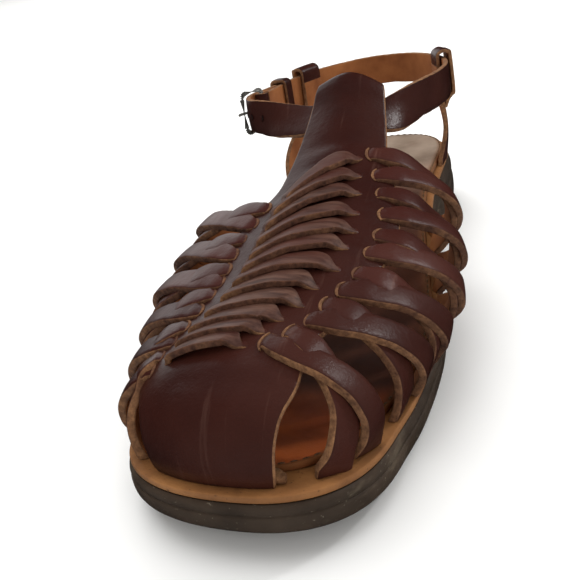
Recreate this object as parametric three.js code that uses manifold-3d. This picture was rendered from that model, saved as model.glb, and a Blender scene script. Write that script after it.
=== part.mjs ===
// Woven fisherman sandal, right shoe. Millimetres, +Z up, toe toward -Y, inner (medial) side toward +X.
// Shapes are worked out with y counted back from the toe tip and are moved onto the centre at the end.
import * as THREE from 'three';
import { mergeVertices } from 'three/addons/utils/BufferGeometryUtils.js';
import Module from 'manifold-3d';

const wasm = await Module();
wasm.setup();

const MEDIAL = 1;
const LATERAL = -1;

// Sole outline: half widths of the outsole either side of the foot's axis, by distance back from the toe
const SOLE_LENGTH = 290;
const TOE_END = 42;
const TOE_TIP_X = 7.1;
const TOE_FULLNESS = 2.3;
const TOE_BLEND = 9;
const HEEL_START = 250;
const HEEL_FULLNESS = 2.3;
const OUTLINE = [
  { back: 42, medial: 46.3, lateral: 45.5 },
  { back: 60, medial: 49, lateral: 50.5 },
  { back: 85, medial: 50.5, lateral: 54 },
  { back: 105, medial: 49.8, lateral: 55 },
  { back: 130, medial: 46, lateral: 54 },
  { back: 155, medial: 41, lateral: 50.5 },
  { back: 180, medial: 37, lateral: 46 },
  { back: 205, medial: 34.8, lateral: 42 },
  { back: 230, medial: 34.6, lateral: 38.5 },
  { back: 250, medial: 34.4, lateral: 36 },
];

// Sole heights
const TOE_SPRING = 9;
const SPRING_START = 75;
const FOREFOOT_THICK = 11;
const HEEL_LIFT = 15;
const LIFT_START = 100;
const LIFT_END = 215;
const ARCH_RISE = 7;
const ARCH_START = 122;
const ARCH_END = 196;
const HEEL_BREAST = 204;
const SEAT_GAP = 0.3;
const MIDSOLE_THICK = 2.7;
const INSOLE_THICK = 2.4;
const OUTLINE_STEPS = 27;

// Side of the outsole from its tread edge up: rounded tread edge, wall, moulded groove, rounded shoulder
const OUTSOLE_SIDE = [
  { up: 0, inset: 3.2 },
  { up: 0.1, inset: 1.2 },
  { up: 0.26, inset: 0.2 },
  { up: 0.55, inset: 0 },
  { up: 0.62, inset: 0.9 },
  { up: 0.7, inset: 0.1 },
  { up: 0.88, inset: 0.3 },
  { up: 1, inset: 1.3 },
];
const MIDSOLE_SIDE = [
  { up: 0, inset: 1.9 },
  { up: 0.2, inset: 1.5 },
  { up: 0.8, inset: 1.5 },
  { up: 1, inset: 2 },
];
const INSOLE_SIDE = [
  { up: 0, inset: 0.3 },
  { up: 0.2, inset: 0 },
  { up: 0.8, inset: 0 },
  { up: 1, inset: 0.5 },
];

// Feather line, where the upper meets the sole: inset from the outline and the way the straps leave it
const FEATHER = [
  { back: 0, inset: 6.4, lean: 3, rise: 20 },
  { back: 20, inset: 6.4, lean: 7, rise: 21 },
  { back: 45, inset: 5, lean: 13, rise: 23 },
  { back: 70, inset: 3.5, lean: 19, rise: 26 },
  { back: 90, inset: 2.4, lean: 24, rise: 29 },
  { back: 130, inset: 2.2, lean: 27, rise: 31 },
  { back: 200, inset: 2.2, lean: 27, rise: 31 },
  { back: 290, inset: 2.2, lean: 27, rise: 31 },
];
const INSOLE_CLEARANCE = 2.1;
const INSOLE_TOE_CLEARANCE = 7;
const INSOLE_TOE_END = 60;
const INSOLE_HEEL_INSET = 4.2;

// Ridge of the instep, the line the two halves of the upper share
const RIDGE_X = 8;
const RIDGE_FRONT = 44;
const RIDGE_BLEND = 12;
const RIDGE = [
  { back: 30, height: 44 },
  { back: 45, height: 51.5 },
  { back: 60, height: 55 },
  { back: 80, height: 59.4 },
  { back: 100, height: 63.4 },
  { back: 120, height: 67.6 },
  { back: 140, height: 73.8 },
  { back: 154, height: 80.5 },
  { back: 165, height: 87 },
  { back: 174, height: 95 },
  { back: 182, height: 105 },
];
const TOE_GIRTH = 50;

// Girth sections: reach of the top handle, its drop below the ridge and the rise of the low handle. The
// lateral half grows narrower and steeper behind the toe.
const GIRTH = {
  [MEDIAL]: { crown: 0.55, drop: 0.5, rise: 1 },
  [LATERAL]: { crown: 0.3, drop: 1.5, rise: 0.85 },
};
const GIRTH_START = 5;
const GIRTH_FULL = 75;

// Vamp panel with its toe flap and bar: lower edge of the panel on each half of the last, from 0 at the
// feather line to 1 on the ridge
const LEATHER = 1.8;
const PANEL_COLUMNS = [
  0, 4, 8.6, 10, 11.3, 13, 15.3, 19, 20, 23, 27, 33, 42, 52, 64, 76, 88, 100, 108, 114, 120, 130, 140, 150,
  160, 170,
];
const PANEL_ROWS = 5;
const TURN_END = { [MEDIAL]: 11.4, [LATERAL]: 19 };
const TURN_IN = 5;
const TURN_STEPS = 9;
const PANEL_EDGE = {
  [MEDIAL]: [
    { back: 0, up: 0 }, { back: 8.6, up: 0 }, { back: 10, up: 0.22 }, { back: 11.3, up: 0.32 },
    { back: 13, up: 0.4 }, { back: 15.3, up: 0.45 }, { back: 20.8, up: 0.545 }, { back: 24, up: 0.62 },
    { back: 32, up: 0.7 }, { back: 43, up: 0.665 }, { back: 61, up: 0.62 }, { back: 82, up: 0.6 },
    { back: 92, up: 0.59 }, { back: 116, up: 0.625 }, { back: 136, up: 0.705 }, { back: 152, up: 0.72 },
    { back: 174, up: 0.75 },
  ],
  [LATERAL]: [
    { back: 0, up: 0 }, { back: 19, up: 0 }, { back: 20, up: 0.12 }, { back: 23, up: 0.25 },
    { back: 27, up: 0.33 }, { back: 35, up: 0.395 }, { back: 43, up: 0.495 }, { back: 48, up: 0.55 },
    { back: 55, up: 0.595 }, { back: 63, up: 0.63 }, { back: 75, up: 0.657 }, { back: 92, up: 0.68 },
    { back: 100, up: 0.697 }, { back: 108, up: 0.722 }, { back: 114, up: 0.765 }, { back: 120, up: 0.79 },
    { back: 136, up: 0.8 }, { back: 174, up: 0.82 },
  ],
};

// Loop at the top of the bar: the panel's end folded under, with room for the ankle strap
const LOOP_SKIVE = 1.6;
const LOOP_FOLD = [
  { station: 146, lift: -1.1 },
  { station: 149, lift: -2.8 },
  { station: 152.5, lift: -5.9 },
  { station: 161, lift: -5.9 },
  { station: 170, lift: -5.9 },
  { station: 172.6, lift: -4.6 },
  { station: 173.6, lift: -2.8 },
  { station: 172.6, lift: -1 },
  { station: 169.5, lift: 0 },
];

// Ankle strap: a ring through the loop, round the heel and back to the buckle on the lateral side
const ANKLE_WIDTH = 15;
const ANKLE_STATION = 161.6;
const ANKLE_LIFT = -2.7;
const ANKLE_FRONT = [
  { side: MEDIAL, up: 0.74 },
  { side: MEDIAL, up: 0.82 },
  { side: MEDIAL, up: 0.91 },
  { side: MEDIAL, up: 1 },
  { side: LATERAL, up: 0.95 },
  { side: LATERAL, up: 0.88 },
  { side: LATERAL, up: 0.8 },
];
const ANKLE_RING = [
  { x: -40.5, back: 187, height: 77 },
  { x: -43.5, back: 212, height: 74.5 },
  { x: -40, back: 238, height: 73 },
  { x: -30, back: 260, height: 72 },
  { x: -11, back: 275, height: 71.5 },
  { x: 11, back: 275, height: 71.5 },
  { x: 29, back: 260, height: 72 },
  { x: 38.5, back: 238, height: 73.5 },
  { x: 41, back: 212, height: 75.5 },
  { x: 36, back: 186, height: 77.5 },
];
const ANKLE_STEP = 7.5;
const BUCKLE_BACK = 207;
const TAIL = 33;

// How far the ankle strap stands out of its ring, by its length from the buckle: in under its own tail, out
// over the buckle's hinge bar
const STRAP_START = [
  { length: 0, out: -1.3 },
  { length: 18, out: -0.9 },
  { length: 34, out: 0 },
];
const STRAP_END = [
  { length: -36, out: 0 },
  { length: -14, out: 3.3 },
  { length: 0, out: 5.8 },
  { length: 9, out: 4.2 },
  { length: 17, out: 2.2 },
  { length: 33, out: 2 },
];

// Buckle, worked out along the strap, out from it and up its width, from the hinge bar
const WIRE = 2.2;
const WIRE_ROUNDING = 0.5;
const HINGE_OUT = 1.3;
const FRAME_LENGTH = 13.5;
const FRAME_RISE = 4.6;
const FRAME_CLEARANCE = 0.6;
const BUCKLE_WRAP = [
  [5, -0.95], [0, -1.05], [-1.66, -0.36], [-2.35, 1.3], [-1.66, 2.96], [0, 3.65], [3, 2.9], [6, 1.25],
  [9, 0.8], [13, 0.8],
];
const WRAP_MARGIN = 0.2;
const PRONG_EYE = 2.6;
const PRONG_THICK = 1.6;
const PRONG_WALL = 0.9;
const PRONG_START = [-2, 2.4];
const PRONG_END = [-14.7, 8.9];
const PRONG_SLOT = 3.4;
const EYE_SLOT = { along: [-3.3, 3.3], out: [-2.3, 4.6] };
const STRAP_HOLE = { along: [-10.6, -3.4], out: [0, 9] };
const KEEPER_AT = 22;
const KEEPER_WIDTH = 6;
const KEEPER_THICK = 1.5;
const KEEPER_INSIDE = [-2.5, 3.9];

// Quarter straps: foot beside the insole, outward bow, top folded round the ankle strap
const QUARTER_WIDTH = 14;
const QUARTER_INSET = 2.4;
const QUARTERS = {
  quarter_strap_medial: { side: MEDIAL, foot: 240, top: 247, bow: 4 },
  quarter_strap_lateral: { side: LATERAL, foot: 213, top: 250, bow: 9 },
};
const QUARTER_STEPS = 7;
const QUARTER_STRAIGHT = 15;
const QUARTER_LEAN_BACK = 6;
const QUARTER_FOOT_RISE = 16;
const QUARTER_TOP_DROP = 12;
const QUARTER_TOP_BOW = 0.4;
const QUARTER_FOLD = [
  [-3.1, 4], [-3.1, 8.4], [-2.2, 10], [0, 10.8], [2.2, 10], [3.1, 8.4], [3.1, -8], [2, -10.2],
  [0, -12.2], [-1.8, -16],
];
const FOLD_MARGIN = 0.25;

// The twelve woven straps from the ankle to the toe. Feet are girth stations on the feather line; slits and
// the ends of the strip shown on the panel are plan positions. They cross in pairs, the second outside the
// first, and the sweeps and bows bend their lines on the sides of the foot.
const STRAP_THICK = 2;
const STRAP_FOOT_WIDTH = 11;
const STRAP_SLIT_WIDTH = 9.8;
const BAND_WIDTH = 5;
const STRIP_WIDTH = 9.2;
const ON_PANEL = 1.5;
const UNDER_PANEL = -1.5;
const OVER_CROSSING = 1.7;
const STRAP_STEPS = 7;
const STRIP_STEPS = 4;
const WEAVE = [
  {
    foot: 156, sweep: 0.65, slit: [24, 137], inner: [17, 135],
    outer: [-5.4, 110], far: [-12.3, 109], farSweep: 0.8, farFoot: 148,
  },
  {
    foot: 168, sweep: 0.65, slit: [28, 126], inner: [19, 125],
    outer: [-7.7, 102.5], far: [-15, 100.5], farSweep: 1.2, farFoot: 160,
  },
  {
    foot: 131, sweep: 0.65, slit: [31, 116], inner: [21, 115],
    outer: [-8.1, 94], far: [-16.5, 92], farSweep: 0.8, farFoot: 123,
  },
  {
    foot: 143, sweep: 0.65, slit: [34, 104], inner: [23, 103],
    outer: [-8.4, 85.6], far: [-17, 83.5], farSweep: 1.2, farFoot: 135,
  },
  {
    foot: 103, sweep: 0.65, slit: [35, 92], inner: [25, 93],
    outer: [-8.3, 78], far: [-17, 75.5], farSweep: 0.8, farFoot: 96,
  },
  {
    foot: 115, sweep: 0.65, slit: [33.5, 82], inner: [24, 84],
    outer: [-8.8, 72], far: [-17.5, 69.5], farSweep: 1.2, farFoot: 108,
  },
  {
    foot: 77, sweep: 0.8, slit: [32, 71], inner: [24, 73],
    outer: [-9.5, 66], far: [-18.5, 63.5], farSweep: 0.9, farFoot: 71,
  },
  {
    foot: 88, sweep: 0.8, slit: [29, 62], inner: [20, 63],
    outer: [-11, 59.5], far: [-20.5, 56.5], farSweep: 1.2, farFoot: 83,
  },
  {
    foot: 50, sweep: 1.2, slit: [26, 54], inner: [18, 54],
    outer: [-14, 52.5], far: [-23, 49.5], farSweep: 1.2, farFoot: 46,
  },
  {
    foot: 65, sweep: 1.2, slit: [23, 46], inner: [14, 47],
    outer: [-17, 46], far: [-25, 43.5], farSweep: 1.2, farFoot: 60,
  },
  {
    foot: 22, sweep: 2.2, bow: 6, slit: [19, 39], inner: [10, 41],
    outer: [-19, 40], far: [-27, 37.8], farSweep: 1.6, farFoot: 29,
  },
  {
    foot: 33, sweep: 3, bow: 2, slit: [13.5, 34], inner: [5, 35],
    outer: [-20, 34.5], far: [-28, 32], farSweep: 1.6, farFoot: 40,
  },
];

function smoothstep(from, to, at) {
  const t = THREE.MathUtils.clamp((at - from) / (to - from), 0, 1);
  return t * t * (3 - 2 * t);
}

// Smooth curve through one column of a table, read by its key, such as the distance back from the toe
function readTable(table, column, at, key = 'back') {
  const last = table.length - 1;
  if (at <= table[0][key]) return table[0][column];
  if (at >= table[last][key]) return table[last][column];
  let row = 0;
  while (table[row + 1][key] < at) row += 1;
  const slope = (k) => {
    const before = table[Math.max(k - 1, 0)];
    const after = table[Math.min(k + 1, last)];
    return (after[column] - before[column]) / (after[key] - before[key]);
  };
  const span = table[row + 1][key] - table[row][key];
  const t = (at - table[row][key]) / span;
  const rise = t * t * (3 - 2 * t);
  const start = t * (1 - t) * (1 - t) * span * slope(row);
  const end = t * t * (t - 1) * span * slope(row + 1);
  return table[row][column] * (1 - rise) + table[row + 1][column] * rise + start + end;
}

// Straight lines between the rows, for edges with corners
function readEdge(table, column, at) {
  const last = table.length - 1;
  if (at >= table[last].back) return table[last][column];
  let row = 0;
  while (table[row + 1].back <= at) row += 1;
  const t = (at - table[row].back) / (table[row + 1].back - table[row].back);
  return THREE.MathUtils.lerp(table[row][column], table[row + 1][column], t);
}

// Outsole edge on one side at a distance back from the toe
function edgeX(side, back) {
  const column = side === MEDIAL ? 'medial' : 'lateral';
  if (back < TOE_END) {
    const [first, second] = OUTLINE;
    const taper = (second[column] - first[column]) / (second.back - first.back);
    const drawnIn = taper * TOE_BLEND * (1 - Math.exp((back - TOE_END) / TOE_BLEND));
    const full = side * (first[column] - drawnIn);
    const reach = (TOE_END - back) / TOE_END;
    const share = Math.max(0, 1 - reach ** TOE_FULLNESS) ** (1 / TOE_FULLNESS);
    return TOE_TIP_X + (full - TOE_TIP_X) * share;
  }
  if (back > HEEL_START) {
    const medial = readTable(OUTLINE, 'medial', HEEL_START);
    const lateral = readTable(OUTLINE, 'lateral', HEEL_START);
    const centre = (medial - lateral) / 2;
    const reach = (back - HEEL_START) / (SOLE_LENGTH - HEEL_START);
    const share = Math.max(0, 1 - reach ** HEEL_FULLNESS) ** (1 / HEEL_FULLNESS);
    return centre + (side * (medial + lateral) / 2) * share;
  }
  return side * readTable(OUTLINE, column, back);
}

// Heights of the sole's layers at a distance back from the toe
function toeSpring(back) {
  return TOE_SPRING * Math.max(0, (SPRING_START - back) / SPRING_START) ** 2;
}

function treadHeight(back) {
  const arch = back < HEEL_BREAST ? ARCH_RISE * smoothstep(ARCH_START, ARCH_END, back) : 0;
  return toeSpring(back) + arch;
}

function outsoleTop(back) {
  return toeSpring(back) + FOREFOOT_THICK + HEEL_LIFT * smoothstep(LIFT_START, LIFT_END, back);
}

function seatHeight(back) {
  return outsoleTop(back) + SEAT_GAP + MIDSOLE_THICK + SEAT_GAP;
}

// Closed outline as pairs of edge points: toe tip, medial side back, heel tip, lateral side forward
function outlineStations() {
  const stations = [];
  for (let i = 0; i <= OUTLINE_STEPS; i += 1) {
    stations.push((SOLE_LENGTH / 2) * (1 - Math.cos((Math.PI * i) / OUTLINE_STEPS)));
  }
  stations.push(HEEL_BREAST - 1.5, HEEL_BREAST + 0.5);
  return stations.sort((a, b) => a - b);
}

function insetRing(stations, inset, height) {
  const inner = stations.slice(1, -1);
  const medial = inner.map((back) => [edgeX(MEDIAL, back), back]);
  const lateral = inner.map((back) => [edgeX(LATERAL, back), back]).reverse();
  const toe = [TOE_TIP_X, 0];
  const heel = [edgeX(MEDIAL, SOLE_LENGTH), SOLE_LENGTH];
  const points = [toe, ...medial, heel, ...lateral];
  return points.map(([x, back], i) => {
    const before = points[(i + points.length - 1) % points.length];
    const after = points[(i + 1) % points.length];
    const along = new THREE.Vector2(after[0] - before[0], after[1] - before[1]).normalize();
    const amount = inset(back);
    const y = back + along.x * amount;
    return new THREE.Vector3(x - along.y * amount, y, height(y));
  });
}

function geometryOf(points, triangles) {
  const geometry = new THREE.BufferGeometry();
  const values = points.flatMap((point) => point.toArray());
  geometry.setAttribute('position', new THREE.Float32BufferAttribute(values, 3));
  geometry.setIndex(triangles.flat());
  return geometry;
}

// Solid between rings of the outline, lowest first; each cap is ruled straight across from side to side
function layeredSolid(rings) {
  const count = rings[0].length;
  const points = rings.flat();
  const triangles = [];
  for (let level = 0; level + 1 < rings.length; level += 1) {
    for (let i = 0; i < count; i += 1) {
      const next = (i + 1) % count;
      const [a, b] = [level * count + i, level * count + next];
      const [c, d] = [a + count, b + count];
      triangles.push([a, b, d], [a, d, c]);
    }
  }
  const top = (rings.length - 1) * count;
  for (let i = 0; i < count / 2; i += 1) {
    const [a, b] = [i, i + 1];
    const [c, d] = [(count - i) % count, count - i - 1];
    if (c !== a) {
      triangles.push([a, c, b]);
      triangles.push([top + a, top + b, top + c]);
    }
    if (d !== b) {
      triangles.push([c, d, b]);
      triangles.push([top + c, top + b, top + d]);
    }
  }
  return geometryOf(points, triangles);
}

function soleLayer(side, low, high, extraInset) {
  const stations = outlineStations();
  const rings = side.map(({ up, inset }) => {
    const height = (back) => THREE.MathUtils.lerp(low(back), high(back), up);
    return insetRing(stations, (back) => inset + extraInset(back), height);
  });
  return layeredSolid(rings);
}

// Feather line of one side as a fine polyline with its running length
function featherLine(side) {
  const steps = 400;
  const reach = 250;
  const points = [];
  for (let i = 0; i <= steps; i += 1) {
    const back = reach * (1 - Math.cos((Math.PI * i) / (2 * steps)));
    const step = 0.05;
    const nearer = Math.max(0, back - step);
    const along = new THREE.Vector2(edgeX(side, back + step) - edgeX(side, nearer), back + step - nearer);
    if (i === 0) along.set(side, 0);
    along.normalize();
    const inset = readTable(FEATHER, 'inset', back);
    const x = edgeX(side, back) - side * along.y * inset;
    const y = back + side * along.x * inset;
    points.push(new THREE.Vector2(x, y));
  }
  const lengths = [0];
  for (let i = 1; i <= steps; i += 1) lengths.push(lengths[i - 1] + points[i].distanceTo(points[i - 1]));
  return { points, lengths };
}

const FEATHER_LINE = { [MEDIAL]: featherLine(MEDIAL), [LATERAL]: featherLine(LATERAL) };

function featherAtLength(side, length) {
  const { points, lengths } = FEATHER_LINE[side];
  let i = 1;
  while (i < lengths.length - 1 && lengths[i] < length) i += 1;
  const t = (length - lengths[i - 1]) / (lengths[i] - lengths[i - 1]);
  return points[i - 1].clone().lerp(points[i], t);
}

function featherLengthAtBack(side, back) {
  const { points, lengths } = FEATHER_LINE[side];
  let i = 1;
  while (i < lengths.length - 1 && points[i].y < back) i += 1;
  const t = (back - points[i - 1].y) / (points[i].y - points[i - 1].y);
  return THREE.MathUtils.lerp(lengths[i - 1], lengths[i], t);
}

function girthShape(side, station, key) {
  if (side === MEDIAL) return GIRTH[MEDIAL][key];
  const share = smoothstep(GIRTH_START, GIRTH_FULL, station);
  return THREE.MathUtils.lerp(GIRTH[MEDIAL][key], GIRTH[LATERAL][key], share);
}

// One girth section of the last: foot on the feather line, two handles, top on the ridge. Round the toe the
// stations are spread evenly along the feather line, behind it they are distances back from the toe.
function girthSection(side, station) {
  const toeLength = featherLengthAtBack(side, TOE_GIRTH);
  const length = station < TOE_GIRTH ? (toeLength * station) / TOE_GIRTH : featherLengthAtBack(side, station);
  const plan = featherAtLength(side, length);
  const fold = station - RIDGE_FRONT;
  const ridgeBack = (station + RIDGE_FRONT + Math.hypot(fold, RIDGE_BLEND)) / 2;
  const top = new THREE.Vector3(RIDGE_X, ridgeBack, readTable(RIDGE, 'height', ridgeBack));
  const foot = new THREE.Vector3(plan.x, plan.y, seatHeight(plan.y));
  const out = new THREE.Vector3(foot.x - top.x, foot.y - top.y, 0);
  const half = out.length();
  out.normalize();
  const low = foot.clone().addScaledVector(out, readTable(FEATHER, 'lean', plan.y));
  low.z += readTable(FEATHER, 'rise', plan.y) * girthShape(side, station, 'rise');
  const high = top.clone().addScaledVector(out, girthShape(side, station, 'crown') * half);
  high.z -= girthShape(side, station, 'drop');
  return { curve: new THREE.CubicBezierCurve3(foot, low, high, top), out, top };
}

function lastPoint(side, station, up) {
  return girthSection(side, station).curve.getPoint(up);
}

// Outward direction of the last; it turns level at the feather line so that feet end flat on the sole
function lastNormal(side, station, up) {
  const step = 0.01;
  const fore = Math.max(0, station - 0.5);
  const along = lastPoint(side, fore + 1, up).sub(lastPoint(side, fore, up));
  const low = Math.max(0, up - step);
  const high = Math.min(1, up + step);
  const { curve, out } = girthSection(side, station);
  const rising = curve.getPoint(high).sub(curve.getPoint(low));
  const normal = new THREE.Vector3().crossVectors(along, rising).multiplyScalar(side).normalize();
  return out.clone().lerp(normal, smoothstep(0, 0.12, up)).normalize();
}

// Girth station and height on the last under a plan position
function stationOf(x, back) {
  const side = x >= RIDGE_X ? MEDIAL : LATERAL;
  let low = 0;
  let high = 200;
  for (let i = 0; i < 30; i += 1) {
    const middle = (low + high) / 2;
    const { out, top } = girthSection(side, middle);
    const turn = out.x * (back - top.y) - out.y * (x - top.x);
    if (turn * side > 0) low = middle;
    else high = middle;
  }
  const { curve, top } = girthSection(side, low);
  const reach = Math.hypot(x - top.x, back - top.y);
  let [outer, inner] = [0.3, 1];
  for (let i = 0; i < 30; i += 1) {
    const middle = (outer + inner) / 2;
    const point = curve.getPoint(middle);
    if (Math.hypot(point.x - top.x, point.y - top.y) > reach) outer = middle;
    else inner = middle;
  }
  return { side, station: low, up: outer };
}

// Half of a sheet on the last, as a grid from the panel's edge up to the ridge; lift moves it off the last
function sheetHalf(side, columns) {
  const points = [];
  const triangles = [];
  const row = PANEL_ROWS + 1;
  columns.forEach(({ station, lift }, column) => {
    const edge = readEdge(PANEL_EDGE[side], 'up', station);
    for (let i = 0; i < row; i += 1) {
      const up = THREE.MathUtils.lerp(edge, 1, i / PANEL_ROWS);
      const normal = lastNormal(side, station, up);
      if (i === PANEL_ROWS) normal.add(lastNormal(-side, station, up)).normalize();
      points.push(lastPoint(side, station, up).addScaledVector(normal, lift));
      if (column > 0 && i > 0) {
        const [a, b] = [(column - 1) * row + i - 1, (column - 1) * row + i];
        const [c, d] = [a + row, b + row];
        triangles.push(...(side === MEDIAL ? [[a, c, d], [a, d, b]] : [[a, d, c], [a, b, d]]));
      }
    }
  });
  return { points, triangles };
}

// Sheet of leather of one thickness about a middle surface; edge points on the sole keep to its height
function thickened(surface, thickness) {
  const welded = mergeVertices(surface, 1e-3);
  welded.computeVertexNormals();
  const position = welded.getAttribute('position');
  const normal = welded.getAttribute('normal');
  const count = position.count;
  const points = [];
  [0.5, -0.5].forEach((side) => {
    for (let i = 0; i < count; i += 1) {
      const middle = new THREE.Vector3().fromBufferAttribute(position, i);
      const outward = new THREE.Vector3().fromBufferAttribute(normal, i);
      const point = middle.clone().addScaledVector(outward, side * thickness);
      if (middle.z < seatHeight(middle.y) + 0.01) point.z = seatHeight(point.y);
      points.push(point);
    }
  });
  const index = welded.getIndex().array;
  const triangles = [];
  const open = new Map();
  for (let i = 0; i < index.length; i += 3) {
    const corner = [index[i], index[i + 1], index[i + 2]];
    triangles.push(corner, [corner[0] + count, corner[2] + count, corner[1] + count]);
    corner.forEach((from, k) => {
      const to = corner[(k + 1) % 3];
      if (!open.delete(`${to},${from}`)) open.set(`${from},${to}`, [from, to]);
    });
  }
  open.forEach(([from, to]) => triangles.push([from, from + count, to + count], [from, to + count, to]));
  return geometryOf(points, triangles);
}

function sheet(columns, thickness) {
  const medial = sheetHalf(MEDIAL, columns);
  const lateral = sheetHalf(LATERAL, columns);
  const offset = medial.points.length;
  const shifted = lateral.triangles.map((corner) => corner.map((i) => i + offset));
  const surface = geometryOf([...medial.points, ...lateral.points], [...medial.triangles, ...shifted]);
  return thickened(surface, thickness);
}

// Flat strip swept along stations of { centre, normal, width, thick }; feet on the sole end at its height
function sweptStrip(path) {
  const points = [];
  const triangles = [];
  path.forEach(({ centre, normal, width, thick, onSole }, i) => {
    const before = path[Math.max(i - 1, 0)].centre;
    const after = path[Math.min(i + 1, path.length - 1)].centre;
    const along = after.clone().sub(before);
    const across = new THREE.Vector3().crossVectors(normal, along).normalize();
    [[-1, -1], [1, -1], [1, 1], [-1, 1]].forEach(([w, t]) => {
      const corner = centre.clone().addScaledVector(across, (w * width) / 2);
      corner.addScaledVector(normal, (t * thick) / 2);
      if (onSole) corner.z = seatHeight(corner.y);
      points.push(corner);
    });
    if (i === 0) return;
    for (let k = 0; k < 4; k += 1) {
      const next = (k + 1) % 4;
      const [a, b] = [(i - 1) * 4 + k, (i - 1) * 4 + next];
      triangles.push([a, b, b + 4], [a, b + 4, a + 4]);
    }
  });
  const end = (path.length - 1) * 4;
  triangles.push([0, 2, 1], [0, 3, 2], [end, end + 1, end + 2], [end, end + 2, end + 3]);
  return geometryOf(points, triangles);
}

// Foot of the flap turned in flat on the sole, from its outer corner round the toe to past its inner corner
function flapTurnIn() {
  const path = [];
  for (let i = 0; i <= TURN_STEPS; i += 1) {
    const at = THREE.MathUtils.lerp(-TURN_END[LATERAL], TURN_END[MEDIAL], i / TURN_STEPS);
    const side = at < 0 ? LATERAL : MEDIAL;
    const { out } = girthSection(side, Math.abs(at));
    const centre = lastPoint(side, Math.abs(at), 0).addScaledVector(out, -TURN_IN / 2);
    const slope = seatHeight(centre.y + 0.5) - seatHeight(centre.y - 0.5);
    const normal = new THREE.Vector3(0, -slope, 1).normalize();
    centre.z = seatHeight(centre.y);
    centre.addScaledVector(normal, LEATHER / 2);
    path.push({ centre, normal, width: TURN_IN, thick: LEATHER });
  }
  return sweptStrip(path);
}

function stripStation(place, lift, width) {
  const { side, station, up } = place;
  const normal = lastNormal(side, station, up);
  const centre = lastPoint(side, station, up).addScaledVector(normal, lift);
  return { centre, normal, width, thick: STRAP_THICK, onSole: up === 0 };
}

// Side strap from its foot on the sole up to the slit it dives into
function sideStrap(side, foot, slit, sweep, bow, over) {
  const path = [];
  const end = stationOf(slit[0], slit[1]);
  for (let i = 0; i <= STRAP_STEPS; i += 1) {
    const t = i / STRAP_STEPS;
    const place = {
      side,
      station: THREE.MathUtils.lerp(foot, end.station, t ** sweep) + bow * Math.sin(Math.PI * t),
      up: THREE.MathUtils.lerp(0, end.up, t),
    };
    const crossing = over * OVER_CROSSING * smoothstep(0, 0.3, t);
    const lift = THREE.MathUtils.lerp(crossing, ON_PANEL, smoothstep(0.65, 0.85, t));
    path.push(stripStation(place, lift, THREE.MathUtils.lerp(STRAP_FOOT_WIDTH, STRAP_SLIT_WIDTH, t)));
  }
  return path;
}

// Whole strap: medial foot, slit, under the band, strip on the panel, under the far band, far slit and
// lateral foot
function wovenStrap({ foot, sweep, bow = 0, slit, inner, outer, far, farSweep, farFoot }, order) {
  const over = order % 2;
  const near = sideStrap(MEDIAL, foot, slit, sweep, bow, over);
  const away = sideStrap(LATERAL, farFoot, far, farSweep, 0, over).reverse();
  const hidden = (from, to) => {
    const x = (from[0] + to[0]) / 2;
    const back = (from[1] + to[1]) / 2;
    return stripStation(stationOf(x, back), UNDER_PANEL, BAND_WIDTH);
  };
  const shown = [];
  for (let i = 0; i <= STRIP_STEPS; i += 1) {
    const t = i / STRIP_STEPS;
    const x = THREE.MathUtils.lerp(inner[0], outer[0], t);
    const back = THREE.MathUtils.lerp(inner[1], outer[1], t);
    const swell = Math.sin(Math.PI * t) ** 0.6;
    const lift = THREE.MathUtils.lerp(0.2, ON_PANEL, Math.min(1, swell * 1.4));
    shown.push(stripStation(stationOf(x, back), lift, THREE.MathUtils.lerp(BAND_WIDTH, STRIP_WIDTH, swell)));
  }
  return sweptStrip([...near, hidden(slit, inner), ...shown, hidden(outer, far), ...away]);
}

function solidOf(geometry) {
  const bare = new THREE.BufferGeometry().setAttribute('position', geometry.getAttribute('position'));
  bare.setIndex(geometry.getIndex());
  const welded = mergeVertices(bare, 1e-4);
  const mesh = new wasm.Mesh({
    numProp: 3,
    vertProperties: new Float32Array(welded.getAttribute('position').array),
    triVerts: new Uint32Array(welded.getIndex().array),
  });
  return new wasm.Manifold(mesh);
}

function geometryOfSolid(solid) {
  const mesh = solid.getMesh();
  const geometry = new THREE.BufferGeometry();
  geometry.setAttribute('position', new THREE.Float32BufferAttribute(mesh.vertProperties, 3));
  geometry.setIndex([...mesh.triVerts]);
  return geometry;
}

function joined(geometries) {
  const [first, ...others] = geometries.map(solidOf);
  return others.reduce((whole, part) => whole.add(part), first);
}

// The joined leather without the pinholes left shut between two layers
function outerBody(solid) {
  const bodies = solid.decompose();
  return bodies.reduce((largest, body) => (body.volume() > largest.volume() ? body : largest));
}

// Ring of the ankle strap as two matching closed curves, of its middle line and of its outward direction
function ankleRing() {
  const front = ANKLE_FRONT.map(({ side, up }) => {
    const normal = lastNormal(side, ANKLE_STATION, up);
    if (up === 1) normal.add(lastNormal(-side, ANKLE_STATION, up)).normalize();
    return { point: lastPoint(side, ANKLE_STATION, up).addScaledVector(normal, ANKLE_LIFT), normal };
  });
  const around = ANKLE_RING.map(({ x, back, height }, i) => {
    const before = ANKLE_RING[Math.max(i - 1, 0)];
    const after = ANKLE_RING[Math.min(i + 1, ANKLE_RING.length - 1)];
    const normal = new THREE.Vector3(before.back - after.back, after.x - before.x, 0).normalize();
    return { point: new THREE.Vector3(x, back, height), normal };
  });
  const knots = [...front, ...around];
  return {
    line: new THREE.CatmullRomCurve3(knots.map((knot) => knot.point), true),
    outward: new THREE.CatmullRomCurve3(knots.map((knot) => knot.normal), true),
  };
}

const RING = ankleRing();
const RING_LENGTH = RING.line.getLength();

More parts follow.
